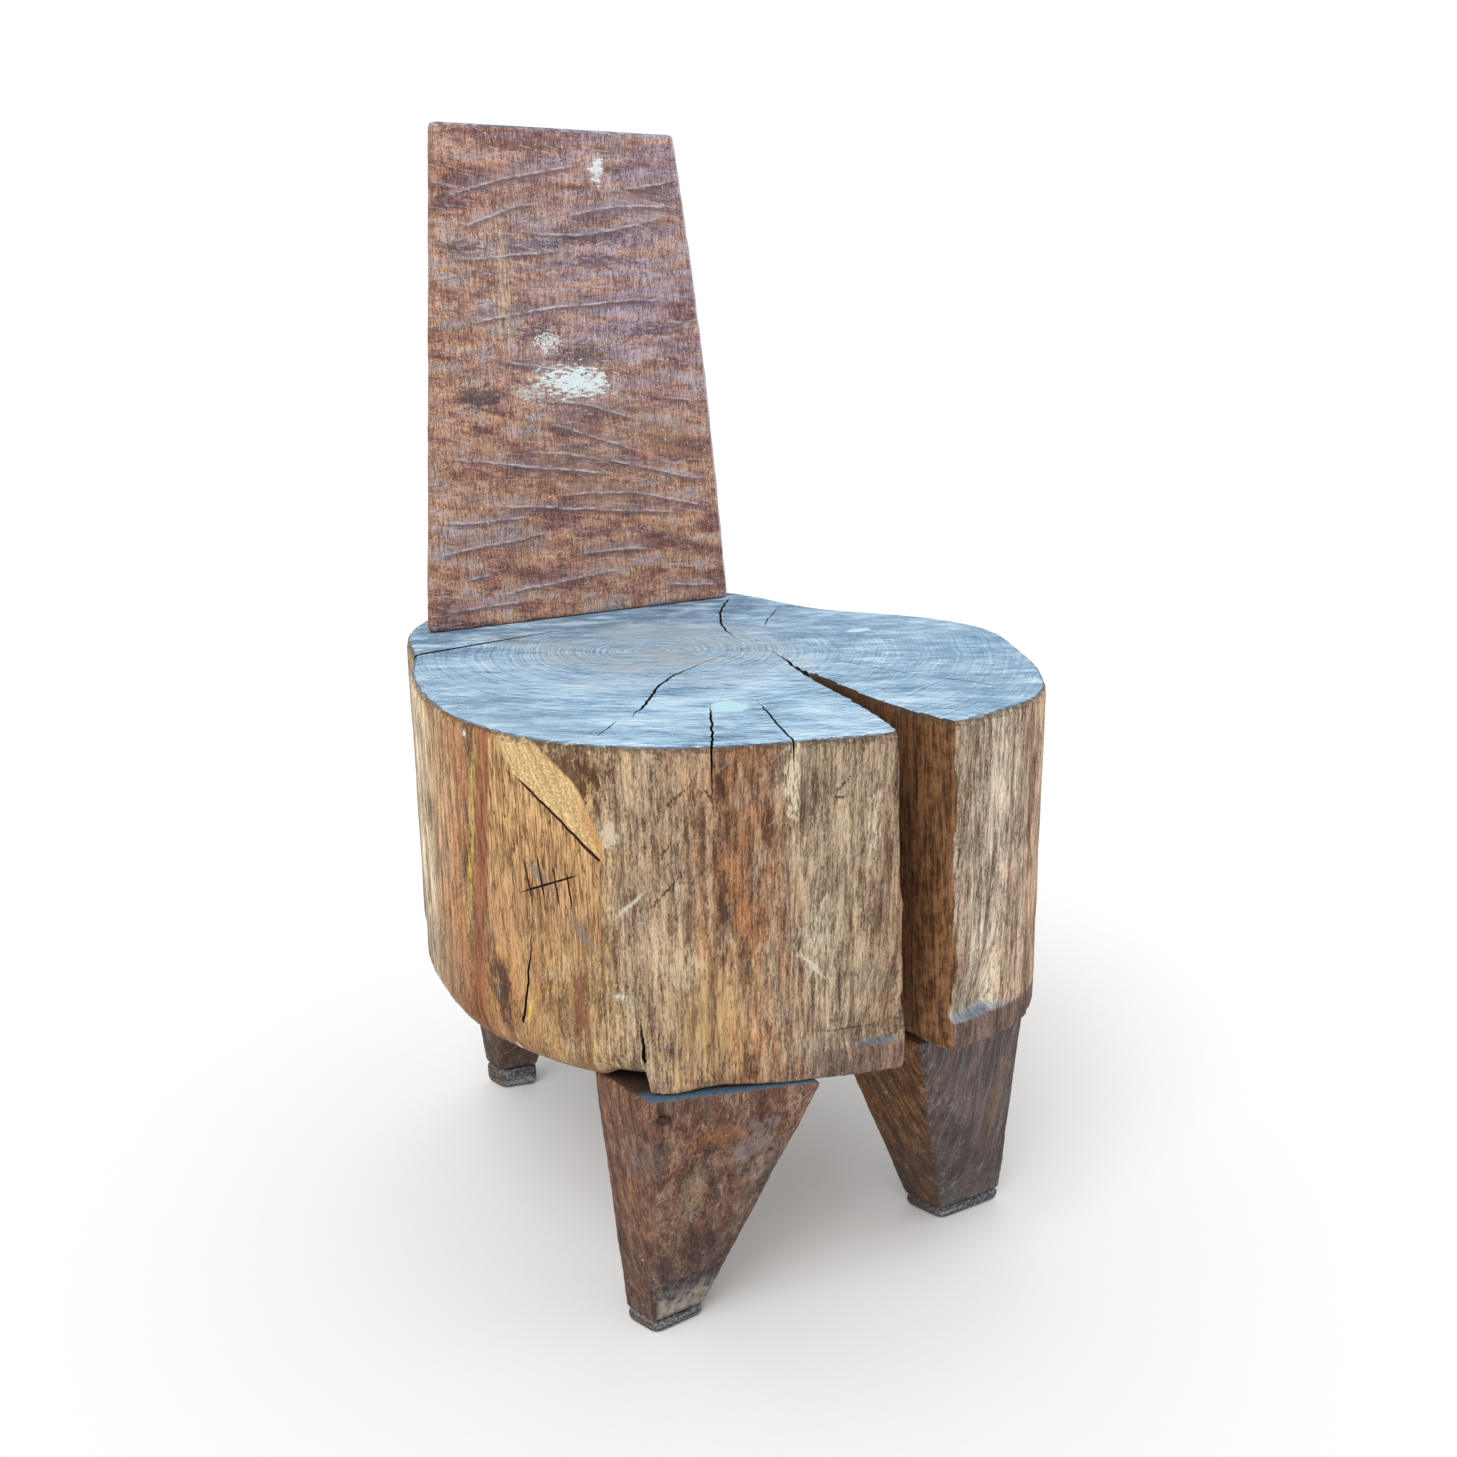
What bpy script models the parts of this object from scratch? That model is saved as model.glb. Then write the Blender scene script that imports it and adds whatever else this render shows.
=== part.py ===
"""Carved log chair: a split log block for a seat, a hewn back slab and four wedge legs on foot pads."""

import math
from collections import namedtuple

import bmesh
import bpy
from mathutils import Matrix, Vector

# Driving sizes in metres. The front is -Y. A bearing is in degrees from the front, positive towards +X.
SEAT_HEIGHT = 0.425
BLOCK_HEIGHT = 0.218
LOG_RADIUS = 0.215
BACK_RISE = 0.360
FIT_GAP = 0.0003

# The log's outline: bearing, then radius at the seat as a share of LOG_RADIUS.
LOG_PLAN = (
    (0, 0.99), (17, 1.01), (31, 1.037), (48, 0.995), (66, 0.98), (88, 1.028), (113, 0.941), (123, 0.921),
    (134, 0.998), (146, 1.19), (160, 1.31), (180, 1.335), (200, 1.31), (215, 1.18), (231, 1.01),
    (249, 0.965), (266, 0.964), (284, 1.0), (302, 1.025), (318, 1.01), (338, 0.968), (348, 0.967),
)
LOG_STEPS = 72
FULL_TURN = 360.0
RIM_WEAR = 0.004
WORN_STEPS = 4

# The log draws in towards its foot at the front, and its lower edge is worn well round on the left.
# Each fades out over a reach in degrees, on either side of its middle bearing.
DRAW_IN = 0.014
DRAW_IN_BEARING = -30.0
DRAW_IN_REACH = 56.0
BASE_WEAR = 0.003
BASE_WEAR_LEFT = 0.030
BASE_WEAR_BEARING = -78.0
BASE_WEAR_REACH = 56.0

# The open drying check that splits the log from near its pith to the rim.
CHECK_MOUTH = 0.041
CHECK_BEARING = 2.0
CHECK_TWIST = 4.5
CHECK_APEX_BEARING = 96.0
CHECK_APEX_RADIUS = 0.044
CHECK_BOW = 0.007
CHECK_WIDTHS = ((0.0, 0.04), (0.3, 0.12), (0.7, 0.34), (0.85, 0.58), (1.0, 1.0), (1.25, 1.7))

# A notch in the side: an axe bevel down from the rim, and the flat below it where the wood split away.
# The bevel runs from the rim to its tip on the log's side, and meets the split flat at its heel.
SPLIT_BEARING = -60.5
SPLIT_DEPTH = 0.003
BEVEL_RIM_BEARING = -62.0
BEVEL_TIP_BEARING = -50.0
BEVEL_TIP_DROP = 0.080
BEVEL_HEEL_BEARING = -66.5
BEVEL_HEEL_DROP = 0.020

# Two hewn ledges beside the check, and the saw kerf before the back.
LEDGE_BEARINGS = (-6.0, 15.0)
LEDGE_LIFT = 0.020
LEDGE_WIDTH = 0.040
LEDGE_DEPTH = 0.008
LEDGE_RISE = 0.060
KERF_WIDTH = 0.003
KERF_DEPTH = 0.006
KERF_AHEAD = 0.052
KERF_SKEW = 9.0
KERF_END = -0.075

# The back slab: a flat front, thin edges and a rounded rear, with a tongue let into the block.
BACK_REVEAL = 0.009
BACK_FOOT_LEFT = 0.133
BACK_FOOT_RIGHT = 0.127
BACK_TOP_LEFT = 0.100
BACK_TOP_RIGHT = 0.0965
BACK_FOOT_DEPTH = 0.085
BACK_TOP_DEPTH = 0.042
BACK_EDGE = 0.010
BACK_BELLY = 0.004
BACK_RECLINE = 0.068
BACK_LEVELS = 4
BACK_REAR_STEPS = 10
TONGUE_WIDTH = 0.170
TONGUE_DEPTH = 0.036
TONGUE_LENGTH = 0.090
TONGUE_INSET = 0.012
BACK_PEG_RADIUS = 0.007
BACK_PEG_SPREAD = 0.050
BACK_PEG_DROP = 0.040
BACK_PEG_PROUD = 0.003
BACK_PEG_PAST = 0.012

# Each leg is a four-sided wedge. Its corners run anticlockwise seen from above, from the front left.
# A corner has a bearing and an inset from the log's outline, at the shoulder and at the foot.
Corner = namedtuple("Corner", "top_bearing top_inset foot_bearing foot_inset")
LEG_CORNERS = {
    "front_left": (
        Corner(-43.5, 0.001, -49.7, 0.063),
        Corner(-13.8, 0.011, -38.4, 0.089),
        Corner(-33.0, 0.112, -51.0, 0.109),
        Corner(-58.2, 0.036, -59.8, 0.073),
    ),
    "front_right": (
        Corner(9.0, 0.026, 50.7, 0.053),
        Corner(49.7, -0.003, 60.6, 0.002),
        Corner(63.4, 0.043, 69.0, 0.028),
        Corner(13.0, 0.129, 59.4, 0.077),
    ),
    "rear_right": (
        Corner(173.0, 0.126, 171.6, 0.032),
        Corner(143.6, 0.060, 164.8, 0.018),
        Corner(153.7, 0.011, 165.0, -0.007),
        Corner(174.8, 0.012, 172.8, 0.001),
    ),
    "rear_left": (
        Corner(-143.7, 0.065, -165.3, 0.017),
        Corner(-173.0, 0.126, -171.6, 0.032),
        Corner(-174.8, 0.012, -172.8, 0.001),
        Corner(-154.0, 0.012, -165.4, -0.008),
    ),
}
FRONT_PAD_HEIGHT = 0.009
REAR_PAD_HEIGHT = 0.018
ARRIS_WEAR = 0.003
PAD_WEAR = 0.006
PAD_WEAR_SHARE = 0.14
TENON_RADIUS = 0.020
TENON_LENGTH = 0.070

# A leg's faces in the order of its corners, then the face that its toe nail enters and how far along.
LEG_FACES = ("front", "right", "rear", "left")
LEG_NAIL_PLACES = {
    "front_left": ("front", 0.08),
    "front_right": ("front", 0.80),
    "rear_right": ("rear", 0.65),
    "rear_left": ("rear", 0.35),
}
LEG_NAIL_DROP = 0.016
LEG_NAIL_PITCH = 45.0
LEG_NAIL_LENGTH = 0.075
PAD_NAIL_LENGTH = 0.038
PAD_NAIL_SPREAD = 0.009
PAD_NAIL_SINK = 0.002
NAIL_RADIUS = 0.002
NAIL_HEAD_RADIUS = 0.0045
NAIL_HEAD = 0.002
NAIL_POCKET = 0.020
NAIL_STEPS = 12
ROUND_STEPS = 24
CUT_MARGIN = 0.020
SMOOTH_ANGLE = math.radians(35.0)

# Places that follow from the sizes above.
BLOCK_BOTTOM = SEAT_HEIGHT - BLOCK_HEIGHT
SHOULDER_HEIGHT = BLOCK_BOTTOM - FIT_GAP

# Finishes: colour, roughness, metallic.
SEAT_WOOD = ("weathered log", (0.32, 0.22, 0.13), 0.85, 0.0)
BACK_WOOD = ("red brown hewn wood", (0.24, 0.12, 0.08), 0.70, 0.0)
LEG_WOOD = ("dark hewn wood", (0.19, 0.10, 0.07), 0.75, 0.0)
PAD_WOOD = ("worn foot wood", (0.22, 0.18, 0.15), 0.90, 0.0)
PEG_WOOD = ("pale peg wood", (0.30, 0.20, 0.11), 0.80, 0.0)
NAIL_IRON = ("rusted iron", (0.10, 0.07, 0.06), 0.60, 0.8)


def clear_scene():
    """Remove every object, so that the script can be run again."""
    for thing in list(bpy.data.objects):
        bpy.data.objects.remove(thing, do_unlink=True)


def new_collection(name):
    """Add a collection to the scene."""
    collection = bpy.data.collections.new(name)
    bpy.context.scene.collection.children.link(collection)
    return collection


def finish_material(finish):
    """Principled material for one finish, made once."""
    name, colour, roughness, metallic = finish
    if name in bpy.data.materials:
        return bpy.data.materials[name]
    material = bpy.data.materials.new(name)
    material.use_nodes = True
    shader = material.node_tree.nodes["Principled BSDF"]
    shader.inputs["Base Color"].default_value = (*colour, 1.0)
    shader.inputs["Roughness"].default_value = roughness
    shader.inputs["Metallic"].default_value = metallic
    return material


def polar(bearing, radius, height=0.0):
    """Point at a bearing and a radius from the log's centre."""
    angle = math.radians(bearing)
    return Vector((radius * math.sin(angle), -radius * math.cos(angle), height))


def plan_entry(index):
    """Outline entry at an index that may run past either end of the list."""
    turns, place = divmod(index, len(LOG_PLAN))
    bearing, share = LOG_PLAN[place]
    return bearing + FULL_TURN * turns, share * LOG_RADIUS


def log_radius(bearing):
    """Radius of the log at the seat, on a smooth curve through the outline."""
    bearing %= FULL_TURN
    index = max(i for i, entry in enumerate(LOG_PLAN) if entry[0] <= bearing)
    (b0, r0), (b1, r1), (b2, r2), (b3, r3) = (plan_entry(index + step) for step in (-1, 0, 1, 2))
    span = b2 - b1
    t = (bearing - b1) / span
    slope_1 = span * (r2 - r0) / (b2 - b0)
    slope_2 = span * (r3 - r1) / (b3 - b1)
    rise = t * t * (3.0 - 2.0 * t)
    return r1 + (r2 - r1) * rise + t * (1.0 - t) * ((1.0 - t) * slope_1 - t * slope_2)


def fading(bearing, middle, reach):
    """Share that is 1 at a middle bearing and fades to 0 at its reach on either side."""
    away = (bearing - middle + FULL_TURN / 2) % FULL_TURN - FULL_TURN / 2
    return math.cos(math.pi / 2 * min(1.0, abs(away) / reach))


def side_radius(bearing, height):
    """Radius of the log's side at a height above the floor."""
    drop = (SEAT_HEIGHT - height) / BLOCK_HEIGHT
    return log_radius(bearing) - drop * DRAW_IN * fading(bearing, DRAW_IN_BEARING, DRAW_IN_REACH)


def ring_bearings():
    """Evenly spaced bearings once round the log."""
    return [FULL_TURN * step / LOG_STEPS for step in range(LOG_STEPS)]


def plan_centre():
    """Middle of the log's outline, which is the middle of the whole chair's plan."""
    ring = [polar(bearing, log_radius(bearing)) for bearing in ring_bearings()]
    xs = [point.x for point in ring]
    ys = [point.y for point in ring]
    return Vector(((min(xs) + max(xs)) / 2, (min(ys) + max(ys)) / 2, 0.0))


def bmesh_to_mesh(name, shape):
    """Turn a bmesh into a mesh with outward faces."""
    bmesh.ops.recalc_face_normals(shape, faces=shape.faces)
    mesh = bpy.data.meshes.new(name)
    shape.to_mesh(mesh)
    shape.free()
    return mesh


def loft(name, rings):
    """Closed mesh through rings with as many points each, given in order, with flat end caps."""
    shape = bmesh.new()
    loops = [[shape.verts.new(point) for point in ring] for ring in rings]
    shape.faces.new(reversed(loops[0]))
    shape.faces.new(loops[-1])
    for low, high in zip(loops, loops[1:]):
        for here in range(len(low)):
            after = (here + 1) % len(low)
            shape.faces.new((low[here], low[after], high[after], high[here]))
    return bmesh_to_mesh(name, shape)


def box(name, size):
    """Box mesh centred on its own origin."""
    shape = bmesh.new()
    bmesh.ops.create_cube(shape, size=1.0, matrix=Matrix.Diagonal((*size, 1.0)))
    return bmesh_to_mesh(name, shape)


def rod(name, radius, length):
    """Round rod along Z, from its own origin upwards."""
    shape = bmesh.new()
    bmesh.ops.create_cone(
        shape, cap_ends=True, segments=ROUND_STEPS, radius1=radius, radius2=radius, depth=length,
        matrix=Matrix.Translation((0.0, 0.0, length / 2)),
    )
    return bmesh_to_mesh(name, shape)


class Chair:
    """The chair's collections, and the empty that carries every piece."""

    def __init__(self):
        clear_scene()
        self.parts = new_collection("carved_log_chair")
        self.cutters = new_collection("chair_cutters")
        self.root = bpy.data.objects.new("chair_frame", None)
        self.root.location = -plan_centre()
        self.parts.objects.link(self.root)

    def place(self, name, mesh, collection, matrix):
        """Add an object under the root."""
        thing = bpy.data.objects.new(name, mesh)
        collection.objects.link(thing)
        thing.parent = self.root
        thing.location, thing.rotation_euler = matrix.to_translation(), matrix.to_euler()
        return thing

    def part(self, name, mesh, finish, matrix=Matrix.Identity(4)):
        """Add one physical piece."""
        mesh.materials.append(finish_material(finish))
        mesh.shade_smooth()
        mesh.set_sharp_from_angle(angle=SMOOTH_ANGLE)
        return self.place(name, mesh, self.parts, matrix)

    def cutter(self, name, mesh, matrix=Matrix.Identity(4)):
        """Add a shape that only cuts or is joined to a piece."""
        thing = self.place(name, mesh, self.cutters, matrix)
        thing.hide_render = True
        thing.display_type = "WIRE"
        return thing


def combine(piece, other, operation):
    """Boolean of one piece with another shape."""
    modifier = piece.modifiers.new(f"{operation.lower()} {other.name}", "BOOLEAN")
    modifier.operation = operation
    modifier.solver = "EXACT"
    modifier.object = other


def cut(piece, other):
    """Cut a shape out of a piece."""
    combine(piece, other, "DIFFERENCE")


def round_arrises(piece, width):
    """Wear the sharp edges of a piece round."""
    modifier = piece.modifiers.new("worn arrises", "BEVEL")
    modifier.width = width
    modifier.segments = 2
    modifier.limit_method = "ANGLE"
    modifier.angle_limit = SMOOTH_ANGLE


def base_wear(bearing):
    """Size of the worn round along the block's lower edge."""
    return BASE_WEAR + BASE_WEAR_LEFT * fading(bearing, BASE_WEAR_BEARING, BASE_WEAR_REACH)


def worn_round():
    """A quarter round as steps of inset and of height from its edge, in shares of the wear."""
    angles = [math.pi / 2 * step / WORN_STEPS for step in range(WORN_STEPS + 1)]
    return [(1.0 - math.sin(angle), 1.0 - math.cos(angle)) for angle in angles]


def side_point(bearing, height, inset=0.0):
    """Point on the log's side, or inset from it."""
    return polar(bearing, side_radius(bearing, height) - inset, height)


def make_seat_block(chair):
    """The log block: worn rim, drawn-in side and worn lower edge."""
    rings = []
    for inset, lift in worn_round():
        rings.append([
            side_point(bearing, BLOCK_BOTTOM + base_wear(bearing) * lift, base_wear(bearing) * inset)
            for bearing in ring_bearings()
        ])
    rings.append([side_point(bearing, SEAT_HEIGHT - BLOCK_HEIGHT / 2) for bearing in ring_bearings()])
    for inset, lift in reversed(worn_round()):
        rings.append([
            side_point(bearing, SEAT_HEIGHT - RIM_WEAR * lift, RIM_WEAR * inset)
            for bearing in ring_bearings()
        ])
    block = chair.part("seat_block", loft("seat_block", rings), SEAT_WOOD)
    cut(block, check_cutter(chair))
    cut(block, notch_cutter(chair))
    cut(block, kerf_cutter(chair))
    for number, bearing in enumerate(LEDGE_BEARINGS, start=1):
        cut(block, ledge_cutter(chair, number, bearing))
    return block


def check_cutter(chair):
    """The open check: a bowed wedge from the apex to past the rim, twisted as the grain is."""
    apex = polar(CHECK_APEX_BEARING, CHECK_APEX_RADIUS)
    mouth = polar(CHECK_BEARING, log_radius(CHECK_BEARING))
    along = mouth - apex
    across = Vector((-along.y, along.x, 0.0)).normalized()
    left, right = [], []
    for share, width in CHECK_WIDTHS:
        bow = CHECK_BOW * math.sin(math.pi * min(share, 1.0))
        middle = apex + along * share - across * bow
        left.append(middle - across * (CHECK_MOUTH * width / 2))
        right.append(middle + across * (CHECK_MOUTH * width / 2))
    outline = left + right[::-1]
    twist = Matrix.Rotation(math.radians(CHECK_TWIST), 4, "Z")
    low = [twist @ point + Vector((0.0, 0.0, BLOCK_BOTTOM - CUT_MARGIN)) for point in outline]
    high = [point + Vector((0.0, 0.0, SEAT_HEIGHT + CUT_MARGIN)) for point in outline]
    return chair.cutter("check_cutter", loft("check_cutter", (low, high)))


def radial_prism(name, bearing, profile, width):
    """Mesh with a profile of radius and height, drawn out across a bearing."""
    half = polar(bearing + FULL_TURN / 4, width / 2)
    outline = [polar(bearing, radius, height) for radius, height in profile]
    return loft(name, ([point - half for point in outline], [point + half for point in outline]))


def trim(mesh, point, normal):
    """Cut a mesh along a plane and keep the side that the normal points to."""
    shape = bmesh.new()
    shape.from_mesh(mesh)
    whole = [*shape.verts, *shape.edges, *shape.faces]
    made = bmesh.ops.bisect_plane(shape, geom=whole, plane_co=point, plane_no=normal, clear_inner=True)
    seam = [item for item in made["geom_cut"] if isinstance(item, bmesh.types.BMEdge)]
    bmesh.ops.holes_fill(shape, edges=seam)
    return bmesh_to_mesh(mesh.name, shape)


def split_radius(bearing, height):
    """Radius at which the split flat crosses a bearing."""
    middle = side_radius(SPLIT_BEARING, height) - SPLIT_DEPTH
    return middle / math.cos(math.radians(bearing - SPLIT_BEARING))


def notch_cutter(chair):
    """The notch: what lies outside both the split flat and the axe bevel above it."""
    top, low = SEAT_HEIGHT + CUT_MARGIN, BLOCK_BOTTOM - CUT_MARGIN
    outside = log_radius(SPLIT_BEARING) + CUT_MARGIN
    profile = (
        (split_radius(SPLIT_BEARING, top), top),
        (split_radius(SPLIT_BEARING, low), low),
        (outside, low),
        (outside, top),
    )
    prism = radial_prism("notch_cutter", SPLIT_BEARING, profile, LOG_RADIUS)
    heel_height = SEAT_HEIGHT - BEVEL_HEEL_DROP
    rim = side_point(BEVEL_RIM_BEARING, SEAT_HEIGHT)
    tip = side_point(BEVEL_TIP_BEARING, SEAT_HEIGHT - BEVEL_TIP_DROP)
    heel = polar(BEVEL_HEEL_BEARING, split_radius(BEVEL_HEEL_BEARING, heel_height), heel_height)
    outward = (rim - tip).cross(heel - tip)
    return chair.cutter("notch_cutter", trim(prism, tip, outward))


def ledge_cutter(chair, number, bearing):
    """A notch that leaves a narrow ledge low on the log's side."""
    ledge = BLOCK_BOTTOM + LEDGE_LIFT
    side = side_radius(bearing, ledge)
    profile = (
        (side + CUT_MARGIN, ledge),
        (side + CUT_MARGIN, ledge + LEDGE_RISE),
        (side + LEDGE_DEPTH / 2, ledge + LEDGE_RISE),
        (side - LEDGE_DEPTH, ledge),
    )
    name = f"ledge_cutter_{number}"
    return chair.cutter(name, radial_prism(name, bearing, profile, LEDGE_WIDTH))


def back_front():
    """Y of the back's front face at the seat."""
    return log_radius(FULL_TURN / 2) - BACK_REVEAL - BACK_FOOT_DEPTH


def kerf_cutter(chair):
    """The shallow saw kerf that runs in from the left rim, ahead of the back."""
    length = log_radius(-FULL_TURN / 4)
    mesh = box("kerf_cutter", (length, KERF_WIDTH, 2 * KERF_DEPTH))
    skew = Matrix.Rotation(math.radians(KERF_SKEW), 4, "Z")
    end = Matrix.Translation((KERF_END, back_front() - KERF_AHEAD, SEAT_HEIGHT))
    return chair.cutter("kerf_cutter", mesh, end @ skew @ Matrix.Translation((-length / 2, 0.0, 0.0)))


def back_section(share):
    """Outline of the back at a share of its height: flat front, thin edges and rounded rear."""
    height = SEAT_HEIGHT + FIT_GAP + (BACK_RISE - FIT_GAP) * share
    left = -BACK_FOOT_LEFT + (BACK_FOOT_LEFT - BACK_TOP_LEFT) * share
    belly = BACK_BELLY * math.sin(math.pi * share)
    right = BACK_FOOT_RIGHT + (BACK_TOP_RIGHT - BACK_FOOT_RIGHT) * share + belly
    swell = BACK_FOOT_DEPTH + (BACK_TOP_DEPTH - BACK_FOOT_DEPTH) * share - BACK_EDGE
    front = back_front() + BACK_RECLINE * BACK_RISE * share
    ring = [Vector((left, front, height)), Vector((right, front, height))]
    for step in range(BACK_REAR_STEPS + 1):
        across = step / BACK_REAR_STEPS
        crown = swell * (1.0 - (2.0 * across - 1.0) ** 2)
        ring.append(Vector((right + (left - right) * across, front + BACK_EDGE + crown, height)))
    return ring


def make_back(chair, block):
    """The back slab with its tongue, housed in the block and held by two pegs."""
    rings = [back_section(level / BACK_LEVELS) for level in range(BACK_LEVELS + 1)]
    back = chair.part("back_slab", loft("back_slab", rings), BACK_WOOD)
    round_arrises(back, ARRIS_WEAR)
    reach = TONGUE_LENGTH + CUT_MARGIN
    tongue_y = back_front() + TONGUE_INSET + TONGUE_DEPTH / 2
    place = Matrix.Translation((0.0, tongue_y, SEAT_HEIGHT - TONGUE_LENGTH + reach / 2))
    tongue_size = (TONGUE_WIDTH, TONGUE_DEPTH, reach)
    combine(back, chair.cutter("back_tongue", box("back_tongue", tongue_size), place), "UNION")
    housing_size = tuple(side + 2 * FIT_GAP for side in tongue_size)
    cut(block, chair.cutter("back_housing", box("back_housing", housing_size), place))
    for name, side in (("left", -1.0), ("right", 1.0)):
        make_back_peg(chair, block, back, name, side * BACK_PEG_SPREAD)


def make_back_peg(chair, block, back, name, across):
    """A wooden peg driven in from the rear, through the block and the tongue."""
    height = SEAT_HEIGHT - BACK_PEG_DROP
    bearing = FULL_TURN / 2 - math.degrees(math.asin(across / log_radius(FULL_TURN / 2)))
    rear = polar(bearing, side_radius(bearing, height)).y + BACK_PEG_PROUD
    length = rear - (back_front() + TONGUE_INSET - BACK_PEG_PAST)
    place = Matrix.Translation((across, rear, height)) @ Matrix.Rotation(math.radians(90.0), 4, "X")
    chair.part(f"back_peg_{name}", rod("back_peg", BACK_PEG_RADIUS, length), PEG_WOOD, place)
    hole = rod("back_peg_hole", BACK_PEG_RADIUS + FIT_GAP, length + FIT_GAP + CUT_MARGIN)
    outside = place @ Matrix.Translation((0.0, 0.0, -CUT_MARGIN))
    hole_cutter = chair.cutter(f"back_peg_hole_{name}", hole, outside)
    cut(block, hole_cutter)
    cut(back, hole_cutter)


def leg_points(corners, share, height):
    """Section of a leg at a share of the way down from its shoulder to its foot."""
    points = []
    for corner in corners:
        top = polar(corner.top_bearing, log_radius(corner.top_bearing) - corner.top_inset)
        foot = polar(corner.foot_bearing, log_radius(corner.foot_bearing) - corner.foot_inset)
        points.append(top.lerp(foot, share) + Vector((0.0, 0.0, height)))
    return points


def middle_of(points):
    """Mean of some points."""
    return sum(points, Vector()) / len(points)


def shifted(points, origin):
    """Points as seen from an origin."""
    return [point - origin for point in points]


def make_leg(chair, block, name, corners):
    """A wedge leg with a round tenon in the block, its toe nail, and its pad with two nails."""
    pad_height = FRONT_PAD_HEIGHT if name.startswith("front") else REAR_PAD_HEIGHT
    foot = leg_points(corners, 1.0, pad_height + FIT_GAP)
    shoulder = leg_points(corners, 0.0, SHOULDER_HEIGHT)
    origin = middle_of(foot)
    origin.z = 0.0
    place = Matrix.Translation(origin)
    mesh = loft(f"leg_{name}", (shifted(foot, origin), shifted(shoulder, origin)))
    leg = chair.part(f"leg_{name}", mesh, LEG_WOOD, place)
    round_arrises(leg, ARRIS_WEAR)

    tenon_root = middle_of(shoulder) - Vector((0.0, 0.0, CUT_MARGIN))
    reach = TENON_LENGTH + CUT_MARGIN
    tenon = chair.cutter(f"tenon_{name}", rod("tenon", TENON_RADIUS, reach), Matrix.Translation(tenon_root))
    combine(leg, tenon, "UNION")
    mortise = rod("mortise", TENON_RADIUS + FIT_GAP, reach + FIT_GAP)
    cut(block, chair.cutter(f"mortise_{name}", mortise, Matrix.Translation(tenon_root)))

    make_leg_nail(chair, block, leg, name, corners, pad_height)
    make_pad(chair, leg, name, corners, pad_height)


def nail_mesh(name, length, gap=0.0, pocket=0.0):
    """Half section of a nail, head down, to be turned about Z; a gap makes it a hole for that nail."""
    outline = (
        (0.0, length + gap),
        (NAIL_RADIUS + gap, length + gap),
        (NAIL_RADIUS + gap, NAIL_HEAD + gap),
        (NAIL_HEAD_RADIUS + gap, NAIL_HEAD + gap),
        (NAIL_HEAD_RADIUS + gap, -pocket),
        (0.0, -pocket),
    )
    mesh = bpy.data.meshes.new(name)
    edges = [(place, place + 1) for place in range(len(outline) - 1)]
    mesh.from_pydata([(radius, 0.0, height) for radius, height in outline], edges, [])
    return mesh


def turn(piece):
    """Turn a half section about its Z axis."""
    screw = piece.modifiers.new("turned", "SCREW")
    screw.axis = "Z"
    screw.steps = NAIL_STEPS
    screw.render_steps = NAIL_STEPS
    screw.use_merge_vertices = True
    screw.merge_threshold = 0.00001


def make_nail(chair, name, length, place, through):
    """A nail, and its hole in each piece that it goes through."""
    turn(chair.part(name, nail_mesh(name, length), NAIL_IRON, place))
    hole = chair.cutter(f"{name}_hole", nail_mesh(f"{name}_hole", length, FIT_GAP, NAIL_POCKET), place)
    turn(hole)
    for piece in through:
        cut(piece, hole)


def make_leg_nail(chair, block, leg, name, corners, pad_height):
    """A nail driven up through the leg's outer face, just under the shoulder, into the block."""
    face, along = LEG_NAIL_PLACES[name]
    edge = LEG_FACES.index(face)
    share = LEG_NAIL_DROP / (SHOULDER_HEIGHT - pad_height)
    section = leg_points(corners, share, SHOULDER_HEIGHT - LEG_NAIL_DROP)
    run = section[edge + 1] - section[edge]
    inward = Vector((-run.y, run.x, 0.0)).normalized()
    pitch = math.radians(LEG_NAIL_PITCH)
    axis = inward * math.cos(pitch) + Vector((0.0, 0.0, math.sin(pitch)))
    aim = axis.to_track_quat("Z", "Y").to_matrix().to_4x4()
    place = Matrix.Translation(section[edge] + run * along) @ aim
    make_nail(chair, f"leg_nail_{name}", LEG_NAIL_LENGTH, place, (leg, block))


def worn_outline(points, wear):
    """Outline with each corner cut back along both of its sides."""
    outline = []
    for here, corner in enumerate(points):
        for side in (points[here - 1], points[(here + 1) % len(points)]):
            outline.append(corner + (side - corner).normalized() * wear)
    return outline


def make_pad(chair, leg, name, corners, pad_height):
    """The pad under a leg, worn round to a flat foot and nailed on from below."""
    low = leg_points(corners, 1.0, 0.0)
    origin = middle_of(low)
    outline = worn_outline(shifted(low, origin), ARRIS_WEAR)
    rings = []
    for inset, lift in worn_round():
        height = Vector((0.0, 0.0, PAD_WEAR * lift))
        rings.append([point * (1.0 - PAD_WEAR_SHARE * inset) + height for point in outline])
    rings.append([point + Vector((0.0, 0.0, pad_height)) for point in outline])
    mesh = loft(f"foot_pad_{name}", rings)
    pad = chair.part(f"foot_pad_{name}", mesh, PAD_WOOD, Matrix.Translation(origin))
    along = (low[1] - low[0]).normalized() * PAD_NAIL_SPREAD
    for number, offset in enumerate((-along, along), start=1):
        place = Matrix.Translation(origin + offset + Vector((0.0, 0.0, PAD_NAIL_SINK)))
        make_nail(chair, f"pad_nail_{name}_{number}", PAD_NAIL_LENGTH, place, (pad, leg))


def main():
    """Build the chair."""
    chair = Chair()
    block = make_seat_block(chair)
    make_back(chair, block)
    for name, corners in LEG_CORNERS.items():
        make_leg(chair, block, name, corners)


main()
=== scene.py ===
"""Looks of the carved log chair: hewn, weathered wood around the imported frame, on a plain studio floor."""

import math
from collections import namedtuple

import bmesh
import bpy
from mathutils import Matrix, Vector


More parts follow.
